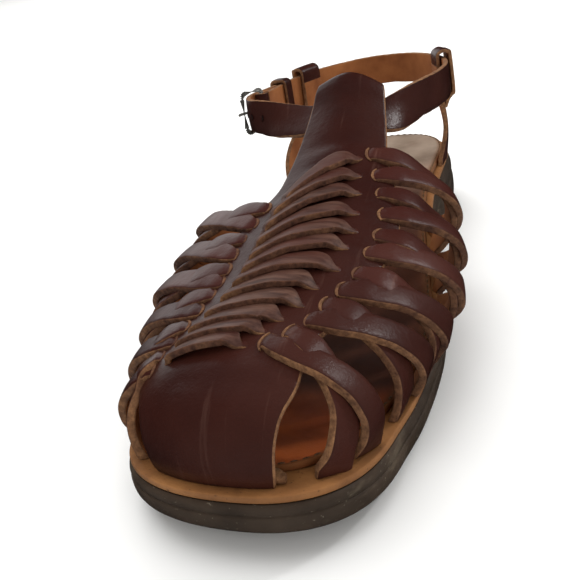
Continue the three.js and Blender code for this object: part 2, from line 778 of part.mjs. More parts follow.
// Place on the ring at a length from the buckle's hinge: middle point, direction along, outward and up
function ringPlace(length) {
  const share = THREE.MathUtils.euclideanModulo(BUCKLE_SHARE + length / RING_LENGTH, 1);
  const t = RING.line.getUtoTmapping(share);
  const along = RING.line.getTangent(t);
  const up = new THREE.Vector3().crossVectors(along, RING.outward.getPoint(t)).normalize();
  const out = new THREE.Vector3().crossVectors(up, along);
  return { point: RING.line.getPoint(t), along, out, up };
}

function shareAtBack(side, back) {
  const steps = 2000;
  let best = 0;
  let nearest = Infinity;
  for (let i = 0; i < steps; i += 1) {
    const point = RING.line.getPointAt(i / steps);
    const miss = Math.abs(point.y - back);
    if (point.x * side > 20 && miss < nearest) {
      nearest = miss;
      best = i / steps;
    }
  }
  return best;
}

const BUCKLE_SHARE = shareAtBack(LATERAL, BUCKLE_BACK);

function onRing(length, out) {
  const place = ringPlace(length);
  return { ...place, point: place.point.clone().addScaledVector(place.out, out) };
}

// Frame of the buckle's hinge bar: x along the strap, y out of it, z up its width
function buckleFrame(shift) {
  const { point, along, out, up } = onRing(shift, 0);
  return new THREE.Matrix4().makeBasis(along, out, up).setPosition(point);
}

// Slot for the prong, between two lengths along the strap and two heights out of it
function slotAt(frame, { along, out }) {
  const box = new THREE.BoxGeometry(along[1] - along[0], out[1] - out[0], PRONG_SLOT);
  box.translate((along[0] + along[1]) / 2, (out[0] + out[1]) / 2, 0);
  return box.applyMatrix4(frame);
}

function ankleStrap() {
  const path = [];
  const total = RING_LENGTH + TAIL;
  const steps = Math.round(total / ANKLE_STEP);
  for (let i = 0; i <= steps; i += 1) {
    const length = (total * i) / steps;
    const early = readTable(STRAP_START, 'out', length, 'length');
    const late = readTable(STRAP_END, 'out', length - RING_LENGTH, 'length');
    const { point, out } = onRing(length, length < RING_LENGTH / 2 ? early : late);
    path.push({ centre: point, normal: out, width: ANKLE_WIDTH, thick: STRAP_THICK });
  }
  const frame = buckleFrame(0);
  const wrapped = BUCKLE_WRAP.map(([along, out]) => new THREE.Vector3(along, out, 0).applyMatrix4(frame));
  const up = new THREE.Vector3().setFromMatrixColumn(frame, 2);
  const wrap = wrapped.map((centre, i) => {
    const along = wrapped[Math.min(i + 1, wrapped.length - 1)].clone().sub(wrapped[Math.max(i - 1, 0)]);
    const normal = new THREE.Vector3().crossVectors(along, up).normalize();
    return { centre, normal, width: ANKLE_WIDTH - 2 * WRAP_MARGIN, thick: LOOP_SKIVE };
  });
  const strap = joined([sweptStrip(path), sweptStrip(wrap)]);
  return [EYE_SLOT, STRAP_HOLE].reduce((whole, cut) => whole.subtract(solidOf(slotAt(frame, cut))), strap);
}

function rectangle(shape, width, height, corner) {
  const [w, h] = [width / 2, height / 2];
  shape.moveTo(-w + corner, -h);
  shape.lineTo(w - corner, -h);
  shape.absarc(w - corner, -h + corner, corner, -Math.PI / 2, 0);
  shape.lineTo(w, h - corner);
  shape.absarc(w - corner, h - corner, corner, 0, Math.PI / 2);
  shape.lineTo(-w + corner, h);
  shape.absarc(-w + corner, h - corner, corner, Math.PI / 2, Math.PI);
  shape.lineTo(-w, -h + corner);
  shape.absarc(-w + corner, -h + corner, corner, Math.PI, Math.PI * 1.5);
  return shape;
}

// Frame of the buckle, tilted so that the strap's tail passes under its front bar and over its hinge bar
function frameSolid() {
  const length = Math.hypot(FRAME_LENGTH, FRAME_RISE);
  const inside = ANKLE_WIDTH + 2 * FRAME_CLEARANCE;
  const flat = WIRE - 2 * WIRE_ROUNDING;
  const outer = rectangle(new THREE.Shape(), length + flat, inside + 2 * WIRE - 2 * WIRE_ROUNDING, 2);
  outer.holes.push(rectangle(new THREE.Path(), length - flat, inside + 2 * WIRE_ROUNDING, 1));
  const frame = new THREE.ExtrudeGeometry(outer, {
    depth: flat,
    bevelThickness: WIRE_ROUNDING,
    bevelSize: WIRE_ROUNDING,
    bevelSegments: 1,
    curveSegments: 2,
  });
  frame.translate(-length / 2, 0, -flat / 2);
  frame.rotateX(-Math.PI / 2);
  frame.rotateZ(-Math.atan2(FRAME_RISE, FRAME_LENGTH));
  frame.translate(0, HINGE_OUT, 0);
  return solidOf(frame.applyMatrix4(buckleFrame(0)));
}

// Prong: an eye round the hinge bar and a shank through the strap's hole onto the front bar
function prongSolid() {
  const ring = new THREE.Shape().absarc(0, 0, PRONG_EYE, 0, Math.PI * 2);
  ring.holes.push(new THREE.Path().absarc(0, 0, PRONG_EYE - PRONG_WALL, 0, Math.PI * 2));
  const eye = new THREE.ExtrudeGeometry(ring, { depth: PRONG_THICK, bevelEnabled: false, curveSegments: 6 });
  eye.translate(0, HINGE_OUT, -PRONG_THICK / 2);
  const start = new THREE.Vector2(...PRONG_START);
  const end = new THREE.Vector2(...PRONG_END);
  const shank = new THREE.BoxGeometry(start.distanceTo(end), PRONG_THICK, PRONG_THICK);
  shank.rotateZ(Math.atan2(end.y - start.y, end.x - start.x));
  shank.translate((start.x + end.x) / 2, (start.y + end.y) / 2, 0);
  const frame = buckleFrame(0);
  return joined([eye.applyMatrix4(frame), shank.applyMatrix4(frame)]);
}

function keeperSolid() {
  const [low, high] = KEEPER_INSIDE;
  const height = ANKLE_WIDTH + 2 * FRAME_CLEARANCE;
  const outer = rectangle(new THREE.Shape(), high - low + 2 * KEEPER_THICK, height + 2 * KEEPER_THICK, 2);
  outer.holes.push(rectangle(new THREE.Path(), high - low, height, 0.8));
  const settings = { depth: KEEPER_WIDTH, bevelEnabled: false, curveSegments: 2 };
  const keeper = new THREE.ExtrudeGeometry(outer, settings);
  keeper.translate(0, 0, -KEEPER_WIDTH / 2);
  keeper.rotateY(Math.PI / 2);
  keeper.rotateX(Math.PI / 2);
  keeper.translate(0, (low + high) / 2, 0);
  return solidOf(keeper.applyMatrix4(buckleFrame(KEEPER_AT)));
}

// Quarter strap from its foot on the sole, bowed outward, up to a fold round the ankle strap
function quarterStrap({ side, foot, top, bow }) {
  const share = shareAtBack(side, top);
  const ring = onRing((share - BUCKLE_SHARE) * RING_LENGTH, 0);
  const folded = QUARTER_FOLD.map(([out, up]) => ring.point.clone()
    .addScaledVector(ring.out, out).addScaledVector(ring.up, up));
  const start = new THREE.Vector3(edgeX(side, foot) - side * QUARTER_INSET, foot, seatHeight(foot));
  const low = start.clone().add(new THREE.Vector3(side * bow, QUARTER_LEAN_BACK, QUARTER_FOOT_RISE));
  const inside = folded[0].clone().addScaledVector(ring.up, -QUARTER_STRAIGHT);
  const high = inside.clone().addScaledVector(ring.up, -QUARTER_TOP_DROP);
  high.addScaledVector(ring.out, bow * QUARTER_TOP_BOW);
  const rise = new THREE.CubicBezierCurve3(start, low, high, inside);
  const outward = new THREE.Vector3(side, 0, 0);
  const path = [...rise.getPoints(QUARTER_STEPS - 1), folded[0]].map((centre, i) => ({
    centre,
    normal: outward.clone().lerp(ring.out, i / QUARTER_STEPS).normalize(),
    width: QUARTER_WIDTH,
    thick: STRAP_THICK,
    onSole: i === 0,
  }));
  const across = new THREE.Vector3().crossVectors(ring.up, ring.out);
  const fold = folded.map((centre, i) => {
    const along = folded[Math.min(i + 1, folded.length - 1)].clone().sub(folded[Math.max(i - 1, 0)]);
    const normal = new THREE.Vector3().crossVectors(along, across).normalize();
    return { centre, normal, width: QUARTER_WIDTH - 2 * FOLD_MARGIN, thick: LOOP_SKIVE };
  });
  return joined([sweptStrip(path), sweptStrip(fold)]);
}

const none = () => 0;
const insoleInset = (back) => {
  const share = smoothstep(0, INSOLE_TOE_END, back);
  const clearance = THREE.MathUtils.lerp(INSOLE_TOE_CLEARANCE, INSOLE_CLEARANCE, share);
  return Math.max(readTable(FEATHER, 'inset', back) + clearance, INSOLE_HEEL_INSET);
};

const LOOKS = {
  leather: { color: 0x5d3f37, roughness: 0.5, metalness: 0 },
  tan: { color: 0xbe8246, roughness: 0.75, metalness: 0 },
  footbed: { color: 0x965023, roughness: 0.7, metalness: 0 },
  rubber: { color: 0x48423c, roughness: 0.85, metalness: 0 },
  metal: { color: 0x8c8a86, roughness: 0.4, metalness: 1 },
};

const group = new THREE.Group();
group.name = 'fisherman_sandal';

function place(name, geometry, look) {
  const mesh = new THREE.Mesh(geometry, new THREE.MeshStandardMaterial(LOOKS[look]));
  mesh.name = name;
  group.add(mesh);
}

const midsoleLow = (back) => outsoleTop(back) + SEAT_GAP;
const midsoleHigh = (back) => midsoleLow(back) + MIDSOLE_THICK;
const insoleHigh = (back) => seatHeight(back) + INSOLE_THICK;
place('outsole', soleLayer(OUTSOLE_SIDE, treadHeight, outsoleTop, none), 'rubber');
place('midsole', soleLayer(MIDSOLE_SIDE, midsoleLow, midsoleHigh, none), 'tan');
place('insole', soleLayer(INSOLE_SIDE, seatHeight, insoleHigh, insoleInset), 'footbed');

const panel = PANEL_COLUMNS.map((station) => ({ station, lift: 0 }));
const fold = sheet(LOOP_FOLD, LOOP_SKIVE);
const upper = joined([sheet(panel, LEATHER), fold, flapTurnIn(), ...WEAVE.map(wovenStrap)]);
place('upper', geometryOfSolid(outerBody(upper)), 'leather');
Object.entries(QUARTERS).forEach(([name, quarter]) => {
  place(name, geometryOfSolid(outerBody(quarterStrap(quarter))), 'leather');
});
place('ankle_strap', geometryOfSolid(outerBody(ankleStrap())), 'leather');
place('strap_keeper', geometryOfSolid(keeperSolid()), 'leather');
place('buckle_frame', geometryOfSolid(frameSolid()), 'metal');
place('buckle_prong', geometryOfSolid(prongSolid()), 'metal');

// The origin is on the ground under the middle of the whole shoe
const middle = new THREE.Box3().setFromObject(group, true).getCenter(new THREE.Vector3());
group.position.set(-middle.x, -middle.y, 0);

export default group;
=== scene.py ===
"""Looks of a woven fisherman sandal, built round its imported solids.

Shapes are worked out in millimetres in the shoe's own frame: x toward the inner side of the foot, y back from
the toe tip, z up from the ground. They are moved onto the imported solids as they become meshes.
"""

import functools
import math
from collections import namedtuple

import bmesh
import bpy
import numpy as np
from mathutils import Matrix, Vector

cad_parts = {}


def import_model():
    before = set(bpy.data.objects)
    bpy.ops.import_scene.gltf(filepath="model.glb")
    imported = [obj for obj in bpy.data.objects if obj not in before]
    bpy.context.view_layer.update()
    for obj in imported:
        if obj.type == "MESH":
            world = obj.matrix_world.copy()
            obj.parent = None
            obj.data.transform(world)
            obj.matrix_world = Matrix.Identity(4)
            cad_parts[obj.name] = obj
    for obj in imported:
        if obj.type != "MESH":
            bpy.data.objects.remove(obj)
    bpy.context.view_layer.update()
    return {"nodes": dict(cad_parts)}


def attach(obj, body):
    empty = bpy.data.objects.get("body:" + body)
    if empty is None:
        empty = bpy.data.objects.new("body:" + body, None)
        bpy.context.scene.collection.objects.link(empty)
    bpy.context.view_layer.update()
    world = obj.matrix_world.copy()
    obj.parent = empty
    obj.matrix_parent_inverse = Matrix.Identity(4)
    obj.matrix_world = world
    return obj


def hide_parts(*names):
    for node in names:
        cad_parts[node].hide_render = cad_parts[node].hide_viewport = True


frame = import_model()

MM = 0.001
MEDIAL = 1
LATERAL = -1


class Table:
    """Rows with named columns, read by the first one."""

    def __init__(self, names, *rows):
        self.names = names.split()
        self.rows = np.array(rows, float)

    def column(self, name):
        return self.rows[:, self.names.index(name)]

    def line(self, name, at):
        """Straight lines between the rows."""
        return float(np.interp(at, self.rows[:, 0], self.column(name)))

    def curve(self, name, at):
        """Smooth curve through the rows."""
        x, y = self.rows[:, 0], self.column(name)
        last = len(x) - 1
        if not x[0] < at < x[last]:
            return self.line(name, at)
        k = int(np.searchsorted(x, at)) - 1

        def slope(i):
            a, b = max(i - 1, 0), min(i + 1, last)
            return (y[b] - y[a]) / (x[b] - x[a])

        span = x[k + 1] - x[k]
        t = (at - x[k]) / span
        rise = t * t * (3 - 2 * t)
        bend = t * (1 - t) ** 2 * slope(k) - t * t * (1 - t) * slope(k + 1)
        return float(y[k] * (1 - rise) + y[k + 1] * rise + bend * span)


# Sole outline and heights
SOLE_LENGTH = 290
TOE_END = 42
TOE_TIP_X = 7.1
TOE_FULLNESS = 2.3
TOE_BLEND = 9
HEEL_START = 250
HEEL_FULLNESS = 2.3
OUTLINE = Table(
    "back medial lateral",
    (42, 46.3, 45.5), (60, 49, 50.5), (85, 50.5, 54), (105, 49.8, 55), (130, 46, 54),
    (155, 41, 50.5), (180, 37, 46), (205, 34.8, 42), (230, 34.6, 38.5), (250, 34.4, 36),
)
TOE_SPRING = 9
SPRING_START = 75
FOREFOOT_THICK = 11
HEEL_LIFT = 15
LIFT_START = 100
LIFT_END = 215
ARCH_RISE = 7
ARCH_START = 122
ARCH_END = 196
HEEL_BREAST = 204
BREAST_STATIONS = (HEEL_BREAST - 1.5, HEEL_BREAST + 0.5)
SEAT_GAP = 0.3
MIDSOLE_THICK = 2.7
INSOLE_THICK = 2.4
OUTLINE_STEPS = 130
CAP_STEPS = 18

# Sides of the sole's layers from the bottom up: share of the height and inset from the outline
OUTSOLE_SIDE = (
    (0, 3.2), (0.03, 2.3), (0.09, 1.3), (0.17, 0.6), (0.27, 0.15), (0.4, 0), (0.55, 0.05), (0.6, 0.2),
    (0.63, 0.4), (0.65, 0.65), (0.67, 0.7), (0.7, 0.55), (0.74, 0.4), (0.82, 0.4), (0.89, 0.6), (0.95, 1),
    (1, 1.7),
)
MIDSOLE_SIDE = ((0, 1.9), (0.15, 1.6), (0.5, 1.5), (0.8, 1.6), (0.94, 1.9), (1, 2.5))
INSOLE_SIDE = ((0, 0.3), (0.2, 0), (0.7, 0), (0.92, 0.3), (1, 0.8))
INSOLE_CLEARANCE = 2.1
INSOLE_TOE_CLEARANCE = 7
INSOLE_TOE_END = 60
INSOLE_HEEL_INSET = 4.2

# Worn hollows of the insole under the heel, the ball and the toes: place in plan, half sizes and depth
HOLLOWS = ((-1, 250, 20, 24, 0.9), (-1, 92, 30, 24, 0.7), (12, 42, 16, 12, 0.5))

# Stitches round the insole
SEAM_INSET = 1.2
STITCH_LENGTH = 2.6
STITCH_PITCH = 3.6
STITCH_RADIUS = 0.33
STITCH_RISE = 0.42
STITCH_SINK = 0.25
STITCH_POINTS = 6

# Last of the upper: feather line, ridge and girth
FEATHER = Table(
    "back inset lean rise",
    (0, 6.4, 3, 20), (20, 6.4, 7, 21), (45, 5, 13, 23), (70, 3.5, 19, 26), (90, 2.4, 24, 29),
    (130, 2.2, 27, 31), (200, 2.2, 27, 31), (290, 2.2, 27, 31),
)
FEATHER_REACH = 250
FEATHER_STEPS = 400
FEATHER_NEAR = 0.05
RIDGE_X = 8
RIDGE_FRONT = 44
RIDGE_BLEND = 12
RIDGE = Table(
    "back height",
    (30, 44), (45, 51.5), (60, 55), (80, 59.4), (100, 63.4), (120, 67.6), (140, 73.8), (154, 80.5), (165, 87),
    (174, 95), (182, 105),
)
TOE_GIRTH = 50
LAST_STATION = 200.0
LOWEST_UP = 0.3
HALVINGS = 26
NORMAL_STEP = 1
UP_STEP = 0.01
LEVEL_UP = 0.12

# Girth sections: the lateral half grows narrower and steeper behind the toe
GIRTH = {
    MEDIAL: {"crown": 0.55, "drop": 0.5, "rise": 1},
    LATERAL: {"crown": 0.3, "drop": 1.5, "rise": 0.85},
}
GIRTH_START = 5
GIRTH_FULL = 75

# Slots of the leather pieces: grain, cut edge, flesh side and the rubbed grain of the strips on the panel,
# partly lightened as painted light
FACE, RAW, FLESH, WORN_AND_LIT = 0, 1, 2, 3
PLAIN = (FACE, RAW, FLESH)
ALL_RAW = (RAW, RAW, RAW)
TURNED = (RAW, RAW, FACE)
SHOWN = (WORN_AND_LIT, RAW, FLESH)

# Cut leather: section of a strip, waves of its uneven edges as size, rate and turn, and rim of a sheet
SECTION_TOP = 7
SECTION_UNDER = 4
SECTION_ROUND = 0.22
CROWN = 0.35
WAVES = ((0.5, 0.21, 1.7), (0.3, 0.57, 2.9), (0.2, 1.31, 0.7))
UNEVEN = 0.3
MIDDLE_WANDER = 0.6
MIDDLE_SEED = 4.1
EDGE_RINGS = (0.5, 1.0, 1.5)
EDGE_BULGE = 0.35
ON_SOLE = 0.01

# Vamp panel, its toe flap, its bar and the loop folded at the bar's end
LEATHER = 2.1
PANEL_SHADE = 0.94
PANEL_EDGE = {
    MEDIAL: Table(
        "back up",
        (0, 0), (8.6, 0), (10, 0.22), (11.3, 0.32), (13, 0.4), (15.3, 0.45), (20.8, 0.545), (24, 0.62),
        (32, 0.7), (43, 0.665), (61, 0.62), (82, 0.6), (92, 0.59), (116, 0.625), (136, 0.705), (152, 0.72),
        (174, 0.75),
    ),
    LATERAL: Table(
        "back up",
        (0, 0), (19, 0), (20, 0.12), (23, 0.25), (27, 0.33), (35, 0.395), (43, 0.495), (48, 0.55),
        (55, 0.595), (63, 0.63), (75, 0.657), (92, 0.68), (100, 0.697), (108, 0.722), (114, 0.765),
        (120, 0.79), (136, 0.8), (174, 0.82),
    ),
}
EDGE_EASING = 3.0
EASING_GROWTH = 0.3
EASING_SAMPLES = 9
FLAP_STATIONS = (
    0, 1.5, 3, 4.5, 6, 7.2, 8, 8.4, 8.6, 8.8, 9, 9.3, 9.7, 10.1, 10.6, 11.1, 11.7, 12.3, 13, 13.8, 14.6,
    15.5, 16.5, 17.5, 18.4, 19, 19.2, 19.4, 19.6, 19.8, 20, 20.4, 21, 21.7, 22.5, 23.3,
)
BODY_START = 24.3
BODY_STEP = 1.3
PANEL_END = 168
PANEL_ROWS = 26
LOOP_FOLD = (
    (170, 0), (172.6, -1), (173.6, -2.8), (172.6, -4.6), (170, -5.9), (161, -5.9), (152.5, -5.9), (149, -3.2),
    (145, -1.9),
)
FOLD_STEPS = 5

# Foot of the flap, turned in on the sole
FLAP_FOOT = {MEDIAL: 8.6, LATERAL: 19}
TURN_END = {MEDIAL: 11.4, LATERAL: 19}
TURN_IN = 5
TURN_NARROW = 0.5
TURN_TILT = math.radians(16)
TURN_STEPS = 40
TURN_SEED = 9.1

# Easing of the panel along its ridge, and at the pole where the flap's columns meet
RIDGE_ROUNDING = 120
RIDGE_HALF = 14
RIDGE_EASED = (52, 75)
POLE_ROUNDING = 14
POLE_HALF = 9
POLE_FRONT = (26, 34)
POLE_BACK = (90, 70)

# Soft creases of the panel, as lines in plan with a depth and a half width
CREASES = (
    ((-20, 22), (24, 20), 0.5, 3.5),
    ((-14, 31), (20, 29), 0.7, 3.0),
    ((26, 84), (36, 87), 0.35, 1.6),
    ((24, 108), (33, 110), 0.35, 1.8),
    ((-4, 128), (20, 133), 0.6, 3.5),
    ((0, 141), (24, 145), 0.8, 4.0),
)
CREASE_FADE = (0.2, 0.8)
CREASE_LOWEST = 0.2

# Woven straps: feet on the feather line, slits and ends of the strip shown on the panel in plan
Weave = namedtuple("Weave", "foot bend slit inner outer far far_bend far_foot bow", defaults=(0,))
WEAVE = (
    Weave(156, 0.65, (24, 137), (17, 135), (-5.4, 110), (-12.3, 109), 0.8, 148),
    Weave(168, 0.65, (28, 126), (19, 125), (-7.7, 102.5), (-15, 100.5), 1.2, 160),
    Weave(131, 0.65, (31, 116), (21, 115), (-8.1, 94), (-16.5, 92), 0.8, 123),
    Weave(143, 0.65, (34, 104), (23, 103), (-8.4, 85.6), (-17, 83.5), 1.2, 135),
    Weave(103, 0.65, (35, 92), (25, 93), (-8.3, 78), (-17, 75.5), 0.8, 96),
    Weave(115, 0.65, (33.5, 82), (24, 84), (-8.8, 72), (-17.5, 69.5), 1.2, 108),
    Weave(77, 0.8, (32, 71), (24, 73), (-9.5, 66), (-18.5, 63.5), 0.9, 71),
    Weave(88, 0.8, (29, 62), (20, 63), (-11, 59.5), (-20.5, 56.5), 1.2, 83),
    Weave(50, 1.2, (26, 54), (18, 54), (-14, 52.5), (-23, 49.5), 1.2, 46),
    Weave(65, 1.2, (23, 46), (14, 47), (-17, 46), (-25, 43.5), 1.2, 60),
    Weave(22, 2.2, (19, 39), (10, 41), (-19, 40), (-27, 37.8), 1.6, 29, bow=6),
    Weave(33, 3, (13.5, 34), (5, 35), (-20, 34.5), (-28, 32), 1.6, 40, bow=2),
)
STRAP_SHADES = (1.5, 1.6, 1.36, 1.54, 1.28, 1.46, 1.44, 1.08, 1.1, 0.98, 1.1, 1.0)
STRAP_SEED = 1.3

# Side of a strap, with shares of the way where it is over its crossing, climbs on the panel and pinches in
STRAP_THICK = 2.7
STRAP_FOOT_WIDTH = 11
STRAP_SLIT_WIDTH = (9.8, 8)
SLIT_NARROWS = (8, 11)
SIDE_STEPS = 44
SIDE_WEAR = (0.4, 0.85)
SIDE_WORN = (6, 11)
SIDE_TILT = math.radians(11)
OVER_CROSSING = 2.3
CROSSING_SHARE = 0.3
ON_PANEL = 1.9
CLIMB = (0.65, 0.85)
PINCH_SHARE = 0.88
PINCH_DIP = 0.9
PINCH_NARROWING = 0.28

# Stretch of a strap under the panel, as shares of the way from the slit to the strip
UNDER_PANEL = -1.6
HIDDEN_WIDTH = 4.6
HIDDEN_SHARES = (0.35, 0.5, 0.65)

# Strips shown on the panel: flat, their toe-side edge standing up, more so toward the outer end
STRIP_STEPS = 36
STRIP_WIDTH = (9.8, 8.2)
STRIP_TILT = (math.radians(13), math.radians(18))
STRIP_LIFT = 2.2
STRIP_DIP = 0.2
STRIP_STANDS = (0.14, 0.93)
STRIP_THICK = 2.1
STRIP_CROWN = 0.12
STRIP_POINT = 0.2
STRIP_BLUNT = 0.6
STRIP_TIP = 0.3
STRIP_END = 0.55
STRIP_TO_EDGE = 0.42
STRIP_WEAR = 0.12
STRIP_END_WEAR = 0.95
STRIP_WORN = (0.12, 0.75)

# Raw lips of the panel round the ends of its slits; their variety is in reach, half width and lift
LIP_REACH = 2.6
LIP_HALF = 3.8
LIP_LIFT = 1.0
LIP_VARIETY = ((0.15, 3), (0.2, 5), (0.15, 7))
LIP_ARC = 1.05
LIP_POINTS = 13
LIP_WIDTH = 1.1
LIP_ENDS = 0.4
LIP_THICK = 0.8
LIP_CROWN = 0.05
LIP_UNEVEN = 0.2
LIP_TILT = math.radians(22)
LIP_WEAR = {MEDIAL: 0.65, LATERAL: 0.4}
LIP_SEEDS = {MEDIAL: 0.5, LATERAL: 7.5}

# Ankle strap: knots on the last, knots behind it, and how far out the strap lies near the buckle
ANKLE_WIDTH = 15
ANKLE_THICK = 2.2
ANKLE_STATION = 161.6
ANKLE_LIFT = -2.7
ANKLE_FRONT = (
    (MEDIAL, 0.74), (MEDIAL, 0.82), (MEDIAL, 0.91), (MEDIAL, 1),
    (LATERAL, 0.95), (LATERAL, 0.88), (LATERAL, 0.8),
)
ANKLE_RING = (
    (-40.5, 187, 77), (-43.5, 212, 74.5), (-40, 238, 73), (-30, 260, 72), (-11, 275, 71.5), (11, 275, 71.5),
    (29, 260, 72), (38.5, 238, 73.5), (41, 212, 75.5), (36, 186, 77.5),
)
ANKLE_STEP = 2.2
ANKLE_SEED = 2.2
LINE_STEPS = 2000
LINE_NEAR = 1e-4
SIDE_X = 20
STRAP_START = Table("length out", (0, -1.3), (18, -0.9), (34, 0))
STRAP_END = Table("length out", (-36, 0), (-14, 3.3), (0, 5.8), (9, 4.2), (17, 2.2), (33, 2))
TAIL = 33
TAIL_TAPER = 9
TAIL_TIP = 0.45
HOLE_RADIUS = 1.3
HOLE_RIM = 0.22
HOLE_LIFT = 0.36
HOLE_SIDES = 16
HOLE_DISC_LIFT = 0.02
STRAP_HOLES = (-31, -23, -15, 9)

# Buckle, the strap doubled round its hinge bar, and the keeper
BUCKLE_BACK = 207
WIRE = 2.2
WIRE_SIDES = 14
HINGE_OUT = 1.3
FRAME_LENGTH = 13.5
FRAME_RISE = 4.6
FRAME_CLEARANCE = 0.6
FRAME_CORNER = 2.6
WRAP_THICK = 1.6
WRAP_NARROWER = 0.4
WRAP_STEPS = 4
WRAP_SEED = 3.1
BUCKLE_WRAP = (
    (5, -0.95), (0, -1.05), (-1.66, -0.36), (-2.35, 1.3), (-1.66, 2.96), (0, 3.65), (3, 2.9), (6, 1.25),
    (9, 0.8), (13, 0.8),
)
PRONG_EYE = 2.1
PRONG_EYE_SIDES = 20
PRONG_EYE_WIRE = 0.48
PRONG_WIRE = 0.8
PRONG_TIP = 0.75
PRONG_STEPS = 6
BAR_OUT = HINGE_OUT + FRAME_RISE + WIRE / 2 + PRONG_WIRE
PRONG_ROUTE = (
    (-1.9, HINGE_OUT + 1), (-6, HINGE_OUT + 3.3), (-10.5, BAR_OUT - 0.7), (-13.6, BAR_OUT + 0.2),
    (-15.2, BAR_OUT),
)
KEEPER_AT = 22
KEEPER_WIDTH = 6
KEEPER_THICK = 1.5
KEEPER_INSIDE = (-2.5, 3.9)
KEEPER_CORNER = 1.8
KEEPER_CROWN = 0.15
TURNED_CROWN = 0.1

# Quarter straps: their handles give the curve from the foot up to the straight stretch below the fold
QUARTER_WIDTH = 14
QUARTER_INSET = 2.4
QUARTER_STRAIGHT = 15
STRAIGHT_SHARES = (0.25, 0.5, 0.75, 1)
QUARTER_STEPS = 40
QUARTER_FOOT_HANDLE = (6, 16)
QUARTER_TOP_HANDLE = 12
QUARTER_TOP_BOW = 0.4
QUARTER_NARROWER = 0.5
QUARTER_SEED = 5.0
Quarter = namedtuple("Quarter", "side foot top bow")
QUARTERS = {
    "quarter_strap_medial": Quarter(MEDIAL, 240, 247, 4),
    "quarter_strap_lateral": Quarter(LATERAL, 213, 250, 9),
}
QUARTER_FOLD = (
    (-3.1, 4), (-3.1, 8.4), (-2.2, 10), (0, 10.8), (2.2, 10), (3.1, 8.4), (3.1, -8), (2, -10.2), (0, -12.2),
    (-1.8, -16),
)

# Meshes: distances in metres, angles in degrees, and a direction that no wire starts along
WELD_DISTANCE = 0.00001
SLIVER = 0.000001
SHARP = 50
SOLE_SHARP = 35
TERMINATOR_OFFSET = 0.12
TERMINATOR_GEOMETRY = 0.4
TUBE_START = (0.31, 0.17, 0.93)

# Stage and lights, in metres and watts
FLOOR_SIZE = 8.0
FLOOR_DROP = 0.0002
WORLD_COLOUR = (1.0, 0.99, 0.97, 1.0)
WORLD_LIGHT = 0.62
Lamp = namedtuple("Lamp", "name place aim size power shines")
LAMPS = (
    Lamp("overhead", (-0.5, 0.5, 2.4), (0.0, 0.0, 0.0), 2.6, 46.0, False),
    Lamp("window", (-1.1, 1.3, 0.6), (0.0, 0.0, 0.03), 1.3, 7.0, True),
    Lamp("fill", (1.2, -1.2, 1.0), (0.0, -0.05, 0.03), 0.8, 5.0, False),
    Lamp("spark", (0.75, 0.5, 0.75), (0.02, -0.03, 0.05), 0.12, 3.0, True),
    Lamp("far floor", (-2.0, 2.6, 1.5), (-2.0, 2.6, 0.0), 2.0, 16.0, False),
)

# Camera, fitted to the sole's outline in the photograph and turned to take in the whole shoe
CAMERA_PLACE = (96.3, -134.5, 159.5)
CAMERA_AIM = (-3.1, 94.6, 35)
CAMERA_ROLL = math.radians(-12.1)
CAMERA_LENS = 47
CAMERA_SENSOR = 36

tip = min((v.co for v in frame["nodes"]["outsole"].data.vertices), key=lambda co: co.y)
SHOE_ORIGIN = np.array([tip.x - TOE_TIP_X * MM, tip.y, 0])


def metres(points):
    return np.asarray(points, float) * MM + SHOE_ORIGIN


def lerp(a, b, t):
    return a + (b - a) * t


def smoothstep(low, high, at):
    t = min(1.0, max(0.0, (at - low) / (high - low)))
    return t * t * (3 - 2 * t)


def plateau(t, full, fall):
    """Rises from 0 to 1 at a first share of a run, and falls back to 0 after a last one."""
    return smoothstep(0, full, t) * smoothstep(1, fall, t)


def unit(vector):
    return vector / np.linalg.norm(vector)


def waver(length, seed):
    """Slow unevenness along a hand-cut edge, about -1 to 1."""
    return sum(size * math.sin(rate * length + seed * turn) for size, rate, turn in WAVES)


def halved(low, high, before):
    """Value up to which a condition holds between two others, found by halving."""
    for _ in range(HALVINGS):
        middle = (low + high) / 2
        if before(middle):
            low = middle
        else:
            high = middle
    return low


def directions(points, closed=False):
    """Direction of travel at each point of a line."""
    if closed:
        return np.roll(points, -1, 0) - np.roll(points, 1, 0)
    return np.gradient(points, axis=0)


def running_length(points):
    return np.concatenate([[0], np.cumsum(np.linalg.norm(np.diff(points, axis=0), axis=1))])


def at_length(length, lengths, points):
    return np.array([np.interp(length, lengths, column) for column in points.T])


def circle(count, radius=1.0):
    turns = np.arange(count) * 2 * math.pi / count
    return radius * np.stack([np.cos(turns), np.sin(turns)], axis=1)


def bezier(handles, t):
    s = 1 - t
    return np.array([s**3, 3 * s * s * t, 3 * s * t * t, t**3]) @ handles


def smooth_path(points, steps):
    """Fine polyline through a few points, as a Catmull-Rom curve with its ends held."""
    points = np.asarray(points, float)
    padded = np.concatenate([[2 * points[0] - points[1]], points, [2 * points[-1] - points[-2]]])
    line = []
    for k in range(len(points) - 1):
        a, b, c, d = padded[k:k + 4]
        for t in np.arange(steps) / steps:
            bend = (2 * a - 5 * b + 4 * c - d) * t**2 + (3 * b - a - 3 * c + d) * t**3
            line.append(0.5 * (2 * b + (c - a) * t + bend))
    line.append(points[-1])
    return np.array(line)


# The sole


def rounded_share(reach, fullness):
    """Share of the full width at a reach of 0 to 1 into a rounded end."""
    return max(0.0, 1 - reach**fullness) ** (1 / fullness)


